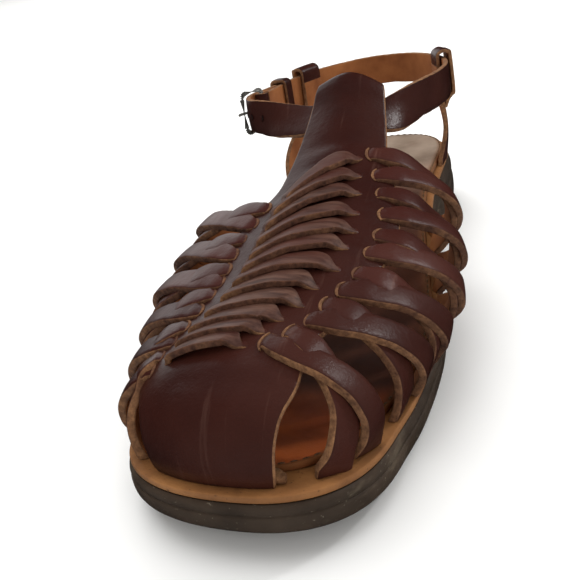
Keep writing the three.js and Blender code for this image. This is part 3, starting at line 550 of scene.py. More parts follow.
def edge_x(side, back):
    """Outsole edge on one side at a distance back from the toe."""
    column = "medial" if side == MEDIAL else "lateral"
    if back < TOE_END:
        first, second = OUTLINE.column(column)[:2]
        start, following = OUTLINE.column("back")[:2]
        taper = (second - first) / (following - start)
        drawn_in = taper * TOE_BLEND * (1 - math.exp((back - TOE_END) / TOE_BLEND))
        full = side * (first - drawn_in)
        return lerp(TOE_TIP_X, full, rounded_share((TOE_END - back) / TOE_END, TOE_FULLNESS))
    if back > HEEL_START:
        medial = OUTLINE.curve("medial", HEEL_START)
        lateral = OUTLINE.curve("lateral", HEEL_START)
        reach = min(1.0, (back - HEEL_START) / (SOLE_LENGTH - HEEL_START))
        return (medial - lateral) / 2 + side * (medial + lateral) / 2 * rounded_share(reach, HEEL_FULLNESS)
    return side * OUTLINE.curve(column, back)


def toe_spring(back):
    return TOE_SPRING * max(0.0, (SPRING_START - back) / SPRING_START) ** 2


def tread_height(back):
    arch = ARCH_RISE * smoothstep(ARCH_START, ARCH_END, back) if back < HEEL_BREAST else 0
    return toe_spring(back) + arch


def outsole_top(back):
    return toe_spring(back) + FOREFOOT_THICK + HEEL_LIFT * smoothstep(LIFT_START, LIFT_END, back)


def midsole_low(back):
    return outsole_top(back) + SEAT_GAP


def midsole_top(back):
    return midsole_low(back) + MIDSOLE_THICK


def seat_height(back):
    return midsole_top(back) + SEAT_GAP


def insole_top(back):
    return seat_height(back) + INSOLE_THICK


def no_inset(back):
    return 0.0


def insole_inset(back):
    clearance = lerp(INSOLE_TOE_CLEARANCE, INSOLE_CLEARANCE, smoothstep(0, INSOLE_TOE_END, back))
    return max(FEATHER.curve("inset", back) + clearance, INSOLE_HEEL_INSET)


def seam_inset(back):
    return insole_inset(back) + SEAM_INSET


def footprint(x, back):
    """Height of the insole's worn hollows at a plan position."""
    worn = 0.0
    for middle, behind, half_x, half_back, depth in HOLLOWS:
        worn += depth * math.exp(-((x - middle) / half_x) ** 2 - ((back - behind) / half_back) ** 2)
    return -worn


def inset_ring(inset, height):
    """Closed outline moved inward: toe tip, medial side back, heel tip, lateral side forward."""
    steps = np.arange(1, OUTLINE_STEPS) / OUTLINE_STEPS
    inner = sorted([SOLE_LENGTH / 2 * (1 - math.cos(math.pi * step)) for step in steps] + [*BREAST_STATIONS])
    points = [(TOE_TIP_X, 0)]
    points += [(edge_x(MEDIAL, back), back) for back in inner]
    points.append((edge_x(MEDIAL, SOLE_LENGTH), SOLE_LENGTH))
    points += [(edge_x(LATERAL, back), back) for back in reversed(inner)]
    ring = []
    for (x, back), along in zip(points, directions(np.array(points), closed=True)):
        forward = unit(along)
        y = back + forward[0] * inset(back)
        ring.append((x - forward[1] * inset(back), y, height(y)))
    return np.array(ring)


# The last, addressed by side, station along the foot and height up the girth

Girth = namedtuple("Girth", "handles out top")
Spot = namedtuple("Spot", "side station up")


@functools.lru_cache(None)
def feather_line(side):
    """Feather line of one side as a fine polyline with its running length."""
    points = []
    for i in range(FEATHER_STEPS + 1):
        back = FEATHER_REACH * (1 - math.cos(math.pi * i / (2 * FEATHER_STEPS)))
        nearer, further = max(0, back - FEATHER_NEAR), back + FEATHER_NEAR
        along = unit(np.array([edge_x(side, further) - edge_x(side, nearer), further - nearer]))
        if i == 0:
            along = np.array([side, 0.0])
        inset = FEATHER.curve("inset", back)
        points.append((edge_x(side, back) - side * along[1] * inset, back + side * along[0] * inset))
    points = np.array(points)
    return points, running_length(points)


def girth_shape(side, station, key):
    if side == MEDIAL:
        return GIRTH[MEDIAL][key]
    return lerp(GIRTH[MEDIAL][key], GIRTH[LATERAL][key], smoothstep(GIRTH_START, GIRTH_FULL, station))


@functools.lru_cache(None)
def girth_section(side, station):
    """One girth section of the last: foot on the feather line, two handles, top on the ridge."""
    points, lengths = feather_line(side)
    whole = np.interp(max(station, TOE_GIRTH), points[:, 1], lengths)
    x, back = at_length(whole * min(1, station / TOE_GIRTH), lengths, points)
    ridge_back = (station + RIDGE_FRONT + math.hypot(station - RIDGE_FRONT, RIDGE_BLEND)) / 2
    top = np.array([RIDGE_X, ridge_back, RIDGE.curve("height", ridge_back)])
    foot = np.array([x, back, seat_height(back)])
    out = (foot - top) * (1, 1, 0)
    half = np.linalg.norm(out)
    out = out / half
    low = foot + out * FEATHER.curve("lean", back)
    low[2] += FEATHER.curve("rise", back) * girth_shape(side, station, "rise")
    high = top + out * girth_shape(side, station, "crown") * half
    high[2] -= girth_shape(side, station, "drop")
    return Girth(np.array([foot, low, high, top]), out, top)


def last_point(side, station, up):
    return bezier(girth_section(side, station).handles, up)


def half_normal(side, station, up):
    fore = max(0, station - NORMAL_STEP / 2)
    along = last_point(side, fore + NORMAL_STEP, up) - last_point(side, fore, up)
    girth = girth_section(side, station)
    rising = bezier(girth.handles, min(1, up + UP_STEP)) - bezier(girth.handles, max(0, up - UP_STEP))
    normal = unit(np.cross(along, rising) * side)
    return unit(lerp(girth.out, normal, smoothstep(0, LEVEL_UP, up)))


def last_normal(side, station, up):
    """Outward direction of the last, level at the feather line and shared by the halves where they meet."""
    if up == 1 or station == 0:
        return unit(half_normal(MEDIAL, station, up) + half_normal(LATERAL, station, up))
    return half_normal(side, station, up)


def spot_under(x, back):
    """Girth station and height on the last under a plan position."""
    side = MEDIAL if x >= RIDGE_X else LATERAL

    def before(station):
        girth = girth_section(side, station)
        return (girth.out[0] * (back - girth.top[1]) - girth.out[1] * (x - girth.top[0])) * side > 0

    station = halved(0.0, LAST_STATION, before)
    girth = girth_section(side, station)

    def outside(up):
        point = bezier(girth.handles, up)
        reach = math.hypot(x - girth.top[0], back - girth.top[1])
        return math.hypot(point[0] - girth.top[0], point[1] - girth.top[1]) > reach

    return Spot(side, station, halved(LOWEST_UP, 1.0, outside))


# Meshes


def placed(name, data):
    """A new object in the scene."""
    thing = bpy.data.objects.new(name, data)
    bpy.context.scene.collection.objects.link(thing)
    return thing


class Part:
    """Points, faces, material slots and three painted values of one piece, in millimetres."""

    def __init__(self):
        self.points = []
        self.faces = []
        self.slots = []
        self.painted = {"edge": [], "shade": [], "wear": []}

    def add(self, points, faces, slots, edge=0.0, shade=1.0, wear=1.0):
        start = len(self.points)
        self.points.extend(np.asarray(points, float))
        self.faces.extend([[start + i for i in face] for face in faces])
        self.slots.extend(np.broadcast_to(slots, len(faces)))
        for values, value in zip(self.painted.values(), (edge, shade, wear)):
            values.extend(np.broadcast_to(value, len(points)))

    def make(self, name, materials, replaced, sharp):
        """The finished object: welded, faced outward, smooth but for its sharp edges, riding on the shoe."""
        mesh = bpy.data.meshes.new(name)
        mesh.from_pydata(metres(self.points).tolist(), [], self.faces)
        for label, values in self.painted.items():
            attribute = mesh.attributes.new(label, "FLOAT", "POINT")
            attribute.data.foreach_set("value", np.array(values, np.float32))
        for material in materials:
            mesh.materials.append(material)
        mesh.polygons.foreach_set("material_index", np.array(self.slots, np.int32))
        work = bmesh.new()
        work.from_mesh(mesh)
        bmesh.ops.remove_doubles(work, verts=work.verts, dist=WELD_DISTANCE)
        bmesh.ops.dissolve_degenerate(work, edges=work.edges, dist=SLIVER)
        bmesh.ops.recalc_face_normals(work, faces=work.faces)
        work.to_mesh(mesh)
        work.free()
        mesh.shade_smooth()
        mesh.set_sharp_from_angle(angle=math.radians(sharp))
        piece = placed(name, mesh)
        piece.cycles.shadow_terminator_offset = TERMINATOR_OFFSET
        piece.cycles.shadow_terminator_geometry_offset = TERMINATOR_GEOMETRY
        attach(piece, "root")
        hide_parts(replaced)


def band_faces(rows, columns, closed_rows=False, closed_columns=False):
    """Quads of a grid of points stored row by row."""
    faces = []
    for r in range(rows if closed_rows else rows - 1):
        for c in range(columns if closed_columns else columns - 1):
            here, following = r * columns, (r + 1) % rows * columns
            beside = (c + 1) % columns
            faces.append((here + c, here + beside, following + beside, following + c))
    return faces


def sole_layer(part, side, low, high, extra_inset, relief=None):
    """Layer of the sole: wall through rings of its outline and caps ruled across; relief shapes the top."""
    rings = [
        inset_ring(lambda back: inset + extra_inset(back), lambda back: lerp(low(back), high(back), up))
        for up, inset in side
    ]
    count = len(rings[0])
    rows = count // 2 + 1
    part.add(np.concatenate(rings), band_faces(len(rings), count, closed_columns=True), 0, edge=1.0)
    for ring, shape in ((rings[0], None), (rings[-1], relief)):
        cap, edge = [], []
        for i in range(rows):
            for k in range(CAP_STEPS + 1):
                point = lerp(ring[i], ring[-i], k / CAP_STEPS)
                inside = 0 < k < CAP_STEPS
                if shape and inside:
                    point[2] += shape(point[0], point[1])
                cap.append(point)
                edge.append(0.0 if inside else 1.0)
        part.add(cap, band_faces(rows, CAP_STEPS + 1), 0, edge)


Station = namedtuple(
    "Station", "centre normal width thick crown tilt wear on_sole", defaults=(CROWN, 0.0, 1.0, False)
)


def rounded_corner(across, out, radius, angles):
    """Points of a rounded corner about its centre."""
    turns = [math.radians(angle) for angle in angles]
    return [(across + radius * math.cos(turn), out + radius * math.sin(turn)) for turn in turns]


def strip_section(width, thick):
    """Outline of a flat strip with rounded corners: across and out, from its left top corner round."""
    r = SECTION_ROUND * thick
    half, deep = width / 2 - r, thick / 2 - r
    outline = [(a, thick / 2) for a in np.linspace(-half, half, SECTION_TOP)]
    outline += rounded_corner(half, deep, r, (60, 30, 0))
    outline += rounded_corner(half, -deep, r, (0, -30, -60))
    outline += [(a, -thick / 2) for a in np.linspace(half, -half, SECTION_UNDER)]
    outline += rounded_corner(-half, -deep, r, (-120, -150, -180))
    outline += rounded_corner(-half, deep, r, (180, 150, 120))
    return np.array(outline)


def section_slots(slots):
    """Material slot of each side of that outline."""
    face, raw, flesh = slots
    right = [face, raw, raw, raw, raw, raw, flesh]
    return [face] * (SECTION_TOP - 1) + right + [flesh] * (SECTION_UNDER - 1) + right[::-1]


def sweep(part, stations, seed=0.0, slots=PLAIN, shade=1.0, closed=False, uneven=UNEVEN):
    """Leather strip along its stations: face, cut edges and flesh side; slots may be listed by station."""
    centres = np.array([s.centre for s in stations])
    wander = 0 if closed else uneven
    rings, edge = [], []
    for s, along, length in zip(stations, directions(centres, closed), running_length(centres)):
        forward = unit(along)
        across = unit(np.cross(s.normal, forward))
        normal = np.cross(forward, across)
        turned = across * math.cos(s.tilt) + normal * math.sin(s.tilt)
        normal = normal * math.cos(s.tilt) - across * math.sin(s.tilt)
        outline = strip_section(s.width + wander * waver(length, seed), s.thick)
        outline[:, 0] += MIDDLE_WANDER * wander * waver(length, seed + MIDDLE_SEED)
        share = np.minimum(1, np.abs(outline[:, 0]) / (s.width / 2))
        outline[:SECTION_TOP, 1] += s.crown * (1 - share[:SECTION_TOP] ** 2)
        ring = s.centre + outline[:, :1] * turned + outline[:, 1:] * normal
        if s.on_sole:
            ring[:, 2] = [seat_height(y) for y in ring[:, 1]]
        rings.append(ring)
        edge.append(share**3)
    count, size = len(stations), len(rings[0])
    each = slots if isinstance(slots, list) else [slots] * count
    face_slots = np.concatenate([section_slots(own) for own in (each if closed else each[:-1])])
    faces = band_faces(count, size, closed_rows=closed, closed_columns=True)
    wear = np.repeat([s.wear for s in stations], size)
    part.add(np.concatenate(rings), faces, face_slots, np.concatenate(edge), shade, wear)
    if not closed:
        for end in (0, -1):
            part.add(rings[end], [range(size)], each[end][1], 1.0, shade, stations[end].wear)


def tube(part, path, radius, sides=10, closed=False, slot=0):
    """Round wire along a path; radius may be one value or one for each point."""
    path = np.asarray(path, float)
    count = len(path)
    beside = np.array(TUBE_START)
    rings = []
    for point, along, size in zip(path, directions(path, closed), np.broadcast_to(radius, count)):
        forward = unit(along)
        across = unit(np.cross(forward, beside))
        beside = np.cross(forward, across)
        rings.append(point + circle(sides, size) @ np.array([across, beside]))
    part.add(np.concatenate(rings), band_faces(count, sides, closed_rows=closed, closed_columns=True), slot)
    if not closed:
        for end in (0, -1):
            part.add(rings[end], [range(sides)], slot)


def insole_seam(part):
    """Short stitches round the insole, each end sunk in the leather."""
    ring = inset_ring(seam_inset, insole_top)
    ring = np.concatenate([ring, ring[:1]])
    lengths = running_length(ring)
    for start in np.arange(STITCH_PITCH / 2, lengths[-1] - STITCH_LENGTH, STITCH_PITCH):
        path = []
        for t in np.linspace(0, 1, STITCH_POINTS):
            rise = STITCH_RISE * math.sin(math.pi * t) - STITCH_SINK
            path.append(at_length(start + STITCH_LENGTH * t, lengths, ring) + (0, 0, rise))
        tube(part, path, STITCH_RADIUS, sides=6)


# The woven straps


def on_last(spot, lift, width, thick=STRAP_THICK, **more):
    normal = last_normal(*spot)
    return Station(last_point(*spot) + normal * lift, normal, width, thick, **more)


def side_stations(side, foot, slit, bend, bow, over, wear, slit_width):
    """Side strap from its foot on the sole up to the slit that it dives into."""
    end = spot_under(*slit)
    stations = []
    for t in np.linspace(0, 1, SIDE_STEPS + 1):
        spot = Spot(side, lerp(foot, end.station, t**bend) + bow * math.sin(math.pi * t), end.up * t)
        pinch = smoothstep(PINCH_SHARE, 1, t)
        crossing = over * OVER_CROSSING * smoothstep(0, CROSSING_SHARE, t)
        lift = lerp(crossing, ON_PANEL, smoothstep(*CLIMB, t)) - PINCH_DIP * pinch
        width = lerp(STRAP_FOOT_WIDTH, slit_width, t) * (1 - PINCH_NARROWING * pinch)
        tilt = SIDE_TILT * math.sin(math.pi * t)
        stations.append(on_last(spot, lift, width, tilt=tilt, wear=wear, on_sole=t == 0))
    return stations


def hidden_stations(slit, strip_end):
    """Short stretch under the band of the panel, between a slit and the strip's end."""
    places = [lerp(np.array(slit), np.array(strip_end), share) for share in HIDDEN_SHARES]
    return [on_last(spot_under(*place), UNDER_PANEL, HIDDEN_WIDTH) for place in places]


def strip_stations(order, inner, outer):
    """Strip on the panel: both ends narrow toward its raised toe-side edge and dip into the panel."""
    inner, outer = np.array(inner, float), np.array(outer, float)
    along = unit(outer - inner)
    toeward = np.array([-along[1], along[0]])
    full = lerp(*STRIP_WIDTH, order / (len(WEAVE) - 1))
    stations = []
    for t in np.linspace(0, 1, STRIP_STEPS + 1):
        point = lerp(STRIP_TIP, 1, smoothstep(0, STRIP_POINT, t))
        blunt = lerp(STRIP_END, 1, smoothstep(1, STRIP_BLUNT, t))
        width = full * min(point, blunt)
        plan = lerp(inner, outer, t) + toeward * (full - width) * STRIP_TO_EDGE
        standing = plateau(t, *STRIP_STANDS)
        lift = lerp(STRIP_DIP, STRIP_LIFT, standing)
        tilt = standing * lerp(*STRIP_TILT, t)
        wear = lerp(STRIP_END_WEAR, STRIP_WEAR, plateau(t, *STRIP_WORN))
        spot = spot_under(*plan)
        stations.append(on_last(spot, lift, width, STRIP_THICK, crown=STRIP_CROWN, tilt=tilt, wear=wear))
    return stations


def woven_strap(part, order, row):
    """Strap from its inner foot through its slit, under the panel, over it as a strip, to its outer foot."""
    over = order % 2
    wear = lerp(*SIDE_WEAR, smoothstep(*SIDE_WORN, order))
    width = lerp(*STRAP_SLIT_WIDTH, smoothstep(*SLIT_NARROWS, order))
    near = side_stations(MEDIAL, row.foot, row.slit, row.bend, row.bow, over, wear, width)
    near += hidden_stations(row.slit, row.inner)
    shown = strip_stations(order, row.inner, row.outer)
    away = side_stations(LATERAL, row.far_foot, row.far, row.far_bend, 0, over, wear, width)
    away += hidden_stations(row.far, row.outer)
    slots = [PLAIN] * len(near) + [SHOWN] * len(shown) + [PLAIN] * len(away)
    sweep(part, near + shown + away[::-1], order + STRAP_SEED, slots, STRAP_SHADES[order])


def slit_lip(part, slit, strip_end, seed):
    """Raised raw edge of the panel round the end of a slit, no two alike."""
    toward = unit(np.array(strip_end, float) - np.array(slit, float))
    across = np.array([-toward[1], toward[0]])
    longer, wider, higher = (size * waver(at, seed) for size, at in LIP_VARIETY)
    stations = []
    for angle in np.linspace(-LIP_ARC, LIP_ARC, LIP_POINTS):
        ahead = toward * LIP_REACH * (1 + longer) * math.cos(angle)
        aside = across * LIP_HALF * (1 + wider) * math.sin(angle)
        spot = spot_under(*(np.array(slit) + ahead + aside))
        width = LIP_WIDTH * lerp(LIP_ENDS, 1, math.cos(angle * math.pi / 2 / LIP_ARC))
        shape = {"crown": LIP_CROWN, "tilt": LIP_TILT, "wear": LIP_WEAR[spot.side]}
        stations.append(on_last(spot, LIP_LIFT + higher, width, LIP_THICK, **shape))
    sweep(part, stations, seed=seed, slots=ALL_RAW, uneven=LIP_UNEVEN)


def slit_lips(part):
    for order, row in enumerate(WEAVE):
        slit_lip(part, row.slit, row.inner, order + LIP_SEEDS[MEDIAL])
        slit_lip(part, row.far, row.outer, order + LIP_SEEDS[LATERAL])


# The vamp panel


def crease_depth(x, back):
    """How deep the panel's soft creases are at a plan position."""
    depth = 0.0
    for start, end, deep, half in CREASES:
        offset = np.array([x, back]) - start
        run = np.subtract(end, start)
        t = min(1, max(0, offset @ run / (run @ run)))
        away = np.linalg.norm(offset - run * t)
        depth += deep * plateau(t, *CREASE_FADE) * math.exp(-((away / half) ** 2))
    return depth


def panel_columns():
    """Stations along the panel and round the fold at its end, each with its lift off the last."""
    flat = [*FLAP_STATIONS, *np.arange(BODY_START, PANEL_END, BODY_STEP)]
    return [(station, 0.0) for station in flat] + [tuple(row) for row in smooth_path(LOOP_FOLD, FOLD_STEPS)]


def panel_edge(side, station):
    """Height of the panel's edge, with its corners eased behind the flap's foot."""
    reach = min(EDGE_EASING, max(0.0, EASING_GROWTH * (station - FLAP_FOOT[side])))
    steps = reach * np.linspace(-1, 1, EASING_SAMPLES)
    return float(np.mean([PANEL_EDGE[side].line("up", station + step) for step in steps]))


def panel_column(station, lift):
    """Points across the panel at one station, from its inner edge over the ridge to its outer edge."""
    halves = []
    for side in (MEDIAL, LATERAL):
        edge = panel_edge(side, station)
        half = []
        for share in np.arange(PANEL_ROWS + 1) / PANEL_ROWS:
            up = lerp(edge, 1, share)
            point = last_point(side, station, up)
            creased = lift == 0 and up > CREASE_LOWEST
            lowered = lift - crease_depth(point[0], point[1]) if creased else lift
            half.append(point + last_normal(side, station, up) * lowered)
        halves.append(half)
    column = np.array(halves[0] + halves[1][-2::-1])
    near_ridge = np.exp(-((column[1:-1, :1] - RIDGE_X) / RIDGE_HALF) ** 2)
    ease = 0.5 * near_ridge * smoothstep(*RIDGE_EASED, station)
    for _ in range(RIDGE_ROUNDING):
        column[1:-1] = lerp(column[1:-1], (column[:-2] + column[2:]) / 2, ease)
    return column


def welded(points, faces):
    """One point for each place, with faces renumbered and repeated corners dropped."""
    seen, kept, index = {}, [], []
    for point in points:
        key = tuple(np.round(point, 3))
        if key not in seen:
            seen[key] = len(kept)
            kept.append(point)
        index.append(seen[key])
    tidy = []
    for face in faces:
        corners = [index[i] for i in face]
        corners = [c for k, c in enumerate(corners) if c != corners[k - 1]]
        if len(corners) > 2:
            tidy.append(corners)
    return np.array(kept), tidy


def rounded_over(points, faces, share):
    """The surface with each point eased toward its neighbours by its share."""
    pairs = np.array([(face[k - 1], corner) for face in faces for k, corner in enumerate(face)])
    pairs = np.concatenate([pairs, pairs[:, ::-1]])
    count = np.bincount(pairs[:, 0], minlength=len(points))[:, None]
    for _ in range(POLE_ROUNDING):
        total = np.zeros_like(points)
        np.add.at(total, pairs[:, 0], points[pairs[:, 1]])
        points = lerp(points, total / count, 0.5 * share[:, None])
    return points


def surface_normals(points, faces):
    normals = np.zeros_like(points)
    for face in faces:
        corners = points[face]
        normals[face] += np.cross(corners[2] - corners[0], corners[-1] - corners[1])
    return normals / np.maximum(np.linalg.norm(normals, axis=1), 1e-12)[:, None]


def thick_sheet(part, points, faces, thickness, shade):
    """Leather about a middle surface, with a rounded raw edge; points on the sole stay at its height."""
    normals = surface_normals(points, faces)
    open_edges = {}
    for face in faces:
        for k, corner in enumerate(face):
            pair = (face[k - 1], corner)
            if open_edges.pop((pair[1], pair[0]), None) is None:
                open_edges[pair] = True
    outward = np.zeros_like(points)
    for a, b in open_edges:
        away = unit(np.cross(points[b] - points[a], normals[a] + normals[b]))
        outward[a] += away
        outward[b] += away
    rim = sorted({i for pair in open_edges for i in pair})
    place = {i: k for k, i in enumerate(rim)}

    def layer(turn):
        moved = points + normals * (thickness / 2 * math.cos(turn))
        for i in rim:
            moved[i] += unit(outward[i]) * (EDGE_BULGE * thickness * math.sin(turn))
            if points[i, 2] < seat_height(points[i, 1]) + ON_SOLE:
                moved[i, 2] = seat_height(moved[i, 1])
        return moved

    layers = [layer(0)] + [layer(turn * math.pi / 2) for turn in EDGE_RINGS] + [layer(math.pi)]
    part.add(layers[0], faces, FACE, 0.0, shade)
    part.add(layers[-1], [face[::-1] for face in faces], FLESH, 0.0, shade)
    below = len(rim)
    rim_faces = [(place[b], place[a], place[a] + below, place[b] + below) for a, b in open_edges]
    for upper, lower in zip(layers, layers[1:]):
        part.add(np.concatenate([upper[rim], lower[rim]]), rim_faces, RAW, 1.0, shade)


def flap_turn_in(part):
    """Foot of the flap turned in on the sole past its inner corner, tilted up along one edge and narrowing
    toward its end.
    """
    stations = []
    for at in np.linspace(-TURN_END[LATERAL], TURN_END[MEDIAL], TURN_STEPS + 1):
        side = LATERAL if at < 0 else MEDIAL
        width = TURN_IN * lerp(1, TURN_NARROW, smoothstep(FLAP_FOOT[MEDIAL], TURN_END[MEDIAL], at))
        centre = last_point(side, abs(at), 0.0) - girth_section(side, abs(at)).out * width / 2
        slope = seat_height(centre[1] + 0.5) - seat_height(centre[1] - 0.5)
        normal = unit(np.array([0, -slope, 1]))
        centre[2] = seat_height(centre[1])
        rise = LEATHER / 2 + width / 2 * math.sin(TURN_TILT)
        stations.append(Station(centre + normal * rise, normal, width, LEATHER, tilt=TURN_TILT))
    sweep(part, stations, seed=TURN_SEED, slots=TURNED)


def vamp_panel(part):
    """Panel from the toe flap to the bar's fold, eased at the flap's pole, where its columns meet."""
    columns = [panel_column(station, lift) for station, lift in panel_columns()]
    faces = [face[::-1] for face in band_faces(len(columns), len(columns[0]))]
    points, faces = welded(np.concatenate(columns), faces)
    beside = np.exp(-((points[:, 0] - RIDGE_X) / POLE_HALF) ** 4)
    along = np.array([smoothstep(*POLE_FRONT, y) * smoothstep(*POLE_BACK, y) for y in points[:, 1]])
    thick_sheet(part, rounded_over(points, faces, beside * along), faces, LEATHER, PANEL_SHADE)
    flap_turn_in(part)


# The ankle strap, measured by length along its ring from the buckle's hinge


class Ring:
    """Closed curve through points, with evenly spread bends."""

    def __init__(self, knots):
        self.knots = np.array(knots, float)

    def point(self, t):
        count = len(self.knots)
        place = (t % 1.0) * count
        k = int(place)
        w = place - k
        a, b, c, d = (self.knots[(k + i) % count] for i in (-1, 0, 1, 2))
        spans = [math.sqrt(np.linalg.norm(q - p)) for p, q in ((a, b), (b, c), (c, d))]
        first, middle, last = (max(s, 1e-4) for s in spans)
        start = ((b - a) / first - (c - a) / (first + middle) + (c - b) / middle) * middle
        end = ((c - b) / middle - (d - b) / (middle + last) + (d - c) / last) * middle
        return b + start * w + (3 * (c - b) - 2 * start - end) * w**2 + (2 * (b - c) + start + end) * w**3


def ankle_knots():
    """Knots of the ring and their outward directions."""
    knots = []
    for side, up in ANKLE_FRONT:
        normal = last_normal(side, ANKLE_STATION, up)
        knots.append((last_point(side, ANKLE_STATION, up) + normal * ANKLE_LIFT, normal))
    ring = np.array(ANKLE_RING, float)
    for i, point in enumerate(ring):
        before, after = ring[max(i - 1, 0)], ring[min(i + 1, len(ring) - 1)]
        knots.append((point, unit(np.array([before[1] - after[1], after[0] - before[0], 0]))))
    return zip(*knots)


LINE, OUTWARD = (Ring(knots) for knots in ankle_knots())
LINE_SHARES = np.linspace(0, 1, LINE_STEPS + 1)
LINE_POINTS = np.array([LINE.point(t) for t in LINE_SHARES])
LINE_LENGTHS = running_length(LINE_POINTS)
RING_LENGTH = LINE_LENGTHS[-1]


def length_at_back(side, back):
    """Length along the ring where it passes a distance back from the toe on one side."""
    miss = np.where(LINE_POINTS[:, 0] * side > SIDE_X, np.abs(LINE_POINTS[:, 1] - back), np.inf)
    return LINE_LENGTHS[int(np.argmin(miss))]


BUCKLE_LENGTH = length_at_back(LATERAL, BUCKLE_BACK)
RingPlace = namedtuple("RingPlace", "point along out up")


def ring_place(length, out=0.0):
    """Place on the ring at a length from the buckle's hinge, moved outward."""
    t = float(np.interp((BUCKLE_LENGTH + length) % RING_LENGTH, LINE_LENGTHS, LINE_SHARES))
    along = unit(LINE.point(t + LINE_NEAR) - LINE.point(t - LINE_NEAR))
    up = unit(np.cross(along, OUTWARD.point(t)))
    outward = np.cross(up, along)
    return RingPlace(LINE.point(t) + outward * out, along, outward, up)


def local(place, along, out, up=0.0):
    return place.point + place.along * along + place.out * out + place.up * up


def strap_out(length):
    if length < RING_LENGTH / 2:
        return STRAP_START.curve("out", length)
    return STRAP_END.curve("out", length - RING_LENGTH)


def turned_stations(points, up, width):
    """Stations of a strip that bends in the plane square to up."""
    normals = [unit(np.cross(along, up)) for along in directions(np.asarray(points))]
    return [Station(p, n, width, WRAP_THICK, crown=TURNED_CROWN) for p, n in zip(points, normals)]


def ankle_strap(part):
    """Strap round the ankle to its tapered tail, and its start doubled round the hinge bar."""
    total = RING_LENGTH + TAIL
    stations = []
    for length in np.linspace(0, total, round(total / ANKLE_STEP) + 1):
        place = ring_place(length, strap_out(length))
        taper = smoothstep(total, total - TAIL_TAPER, length) ** 0.5
        stations.append(Station(place.point, place.out, ANKLE_WIDTH * lerp(TAIL_TIP, 1, taper), ANKLE_THICK))
    sweep(part, stations, seed=ANKLE_SEED)
    hinge = ring_place(0)
    wrap = [local(hinge, along, out) for along, out in smooth_path(BUCKLE_WRAP, WRAP_STEPS)]
    sweep(part, turned_stations(wrap, -hinge.up, ANKLE_WIDTH - WRAP_NARROWER), seed=WRAP_SEED)


def strap_holes(part):
    """Punched holes of the strap, as sunk discs coloured dark as painted shade inside the holes, with a
    pressed rim.
    """
    for length in STRAP_HOLES:
        place = ring_place(length, strap_out(length + RING_LENGTH) + ANKLE_THICK / 2 + HOLE_LIFT)
        outline = circle(HOLE_SIDES, HOLE_RADIUS)
        tube(part, [local(place, a, 0.0, b) for a, b in outline], HOLE_RIM, sides=6, closed=True, slot=1)
        part.add([local(place, a, HOLE_DISC_LIFT, b) for a, b in outline], [range(HOLE_SIDES)], 0)


def rounded_rectangle(width, height, radius, steps=5):
    points = []
    for x, y, start in ((1, -1, -90), (1, 1, 0), (-1, 1, 90), (-1, -1, 180)):
        angles = start + 90 * np.arange(steps + 1) / steps
        points += rounded_corner(x * (width / 2 - radius), y * (height / 2 - radius), radius, angles)
    return points


def buckle_frame(part):
    """Bent wire frame: hinge bar inside the strap's wrap, front bar over the strap."""
    hinge = ring_place(0)
    length = math.hypot(FRAME_LENGTH, FRAME_RISE)
    inside = ANKLE_WIDTH + 2 * FRAME_CLEARANCE
    path = []
    for a, b in rounded_rectangle(length, inside + WIRE, FRAME_CORNER):
        share = (length / 2 - a) / length
        path.append(local(hinge, -FRAME_LENGTH * share, HINGE_OUT + FRAME_RISE * share, b))
    tube(part, path, WIRE / 2, sides=WIRE_SIDES, closed=True)


def buckle_prong(part):
    """Wire eye round the hinge bar and a tapered tongue that lies on the front bar."""
    hinge = ring_place(0)
    eye = [local(hinge, a, HINGE_OUT + b) for a, b in circle(PRONG_EYE_SIDES, PRONG_EYE)]
    tube(part, eye, PRONG_EYE_WIRE, closed=True)
    path = smooth_path([local(hinge, along, out) for along, out in PRONG_ROUTE], PRONG_STEPS)
    tube(part, path, PRONG_WIRE * np.linspace(1, PRONG_TIP, len(path)))


def strap_keeper(part):
    """Loop of leather round the strap and its tail."""
    place = ring_place(KEEPER_AT)
    low, high = KEEPER_INSIDE
    height = ANKLE_WIDTH + 2 * FRAME_CLEARANCE + KEEPER_THICK
    outline = rounded_rectangle(high - low + KEEPER_THICK, height, KEEPER_CORNER, steps=6)
    points = np.array([local(place, 0, (low + high) / 2 + a, b) for a, b in outline])
    stations = []
    for point, along in zip(points, directions(points, closed=True)):
        normal = unit(np.cross(along, place.along))
        if np.dot(normal, point - points.mean(0)) < 0:
            normal = -normal
        stations.append(Station(point, normal, KEEPER_WIDTH, KEEPER_THICK, crown=KEEPER_CROWN))
    sweep(part, stations, closed=True)


def quarter_strap(part, quarter, seed):
    """Strap from its foot on the sole, bowed outward, up to a fold round the ankle strap."""
    ring = ring_place(length_at_back(quarter.side, quarter.top) - BUCKLE_LENGTH)
    folded = np.array([local(ring, 0, out, up) for out, up in QUARTER_FOLD])
    foot_x = edge_x(quarter.side, quarter.foot) - quarter.side * QUARTER_INSET
    start = np.array([foot_x, quarter.foot, seat_height(quarter.foot)])
    low = start + (quarter.side * quarter.bow, *QUARTER_FOOT_HANDLE)
    inside = folded[0] - ring.up * QUARTER_STRAIGHT
    high = inside - ring.up * QUARTER_TOP_HANDLE + ring.out * quarter.bow * QUARTER_TOP_BOW
    handles = np.array([start, low, high, inside])
    rise = [bezier(handles, t) for t in np.linspace(0, 1, QUARTER_STEPS + 1)]
    rise += [lerp(inside, folded[0], t) for t in STRAIGHT_SHARES]
    outward = np.array([quarter.side, 0.0, 0.0])
    stations = []
    for i, centre in enumerate(rise):
        normal = unit(lerp(outward, ring.out, i / (len(rise) - 1)))
        stations.append(Station(centre, normal, QUARTER_WIDTH, ANKLE_THICK, on_sole=i == 0))
    sweep(part, stations, seed=seed)
    across = np.cross(ring.up, ring.out)
    fold = turned_stations(smooth_path(folded, FOLD_STEPS), across, QUARTER_WIDTH - QUARTER_NARROWER)
    sweep(part, fold, seed=seed + 1)


# Materials


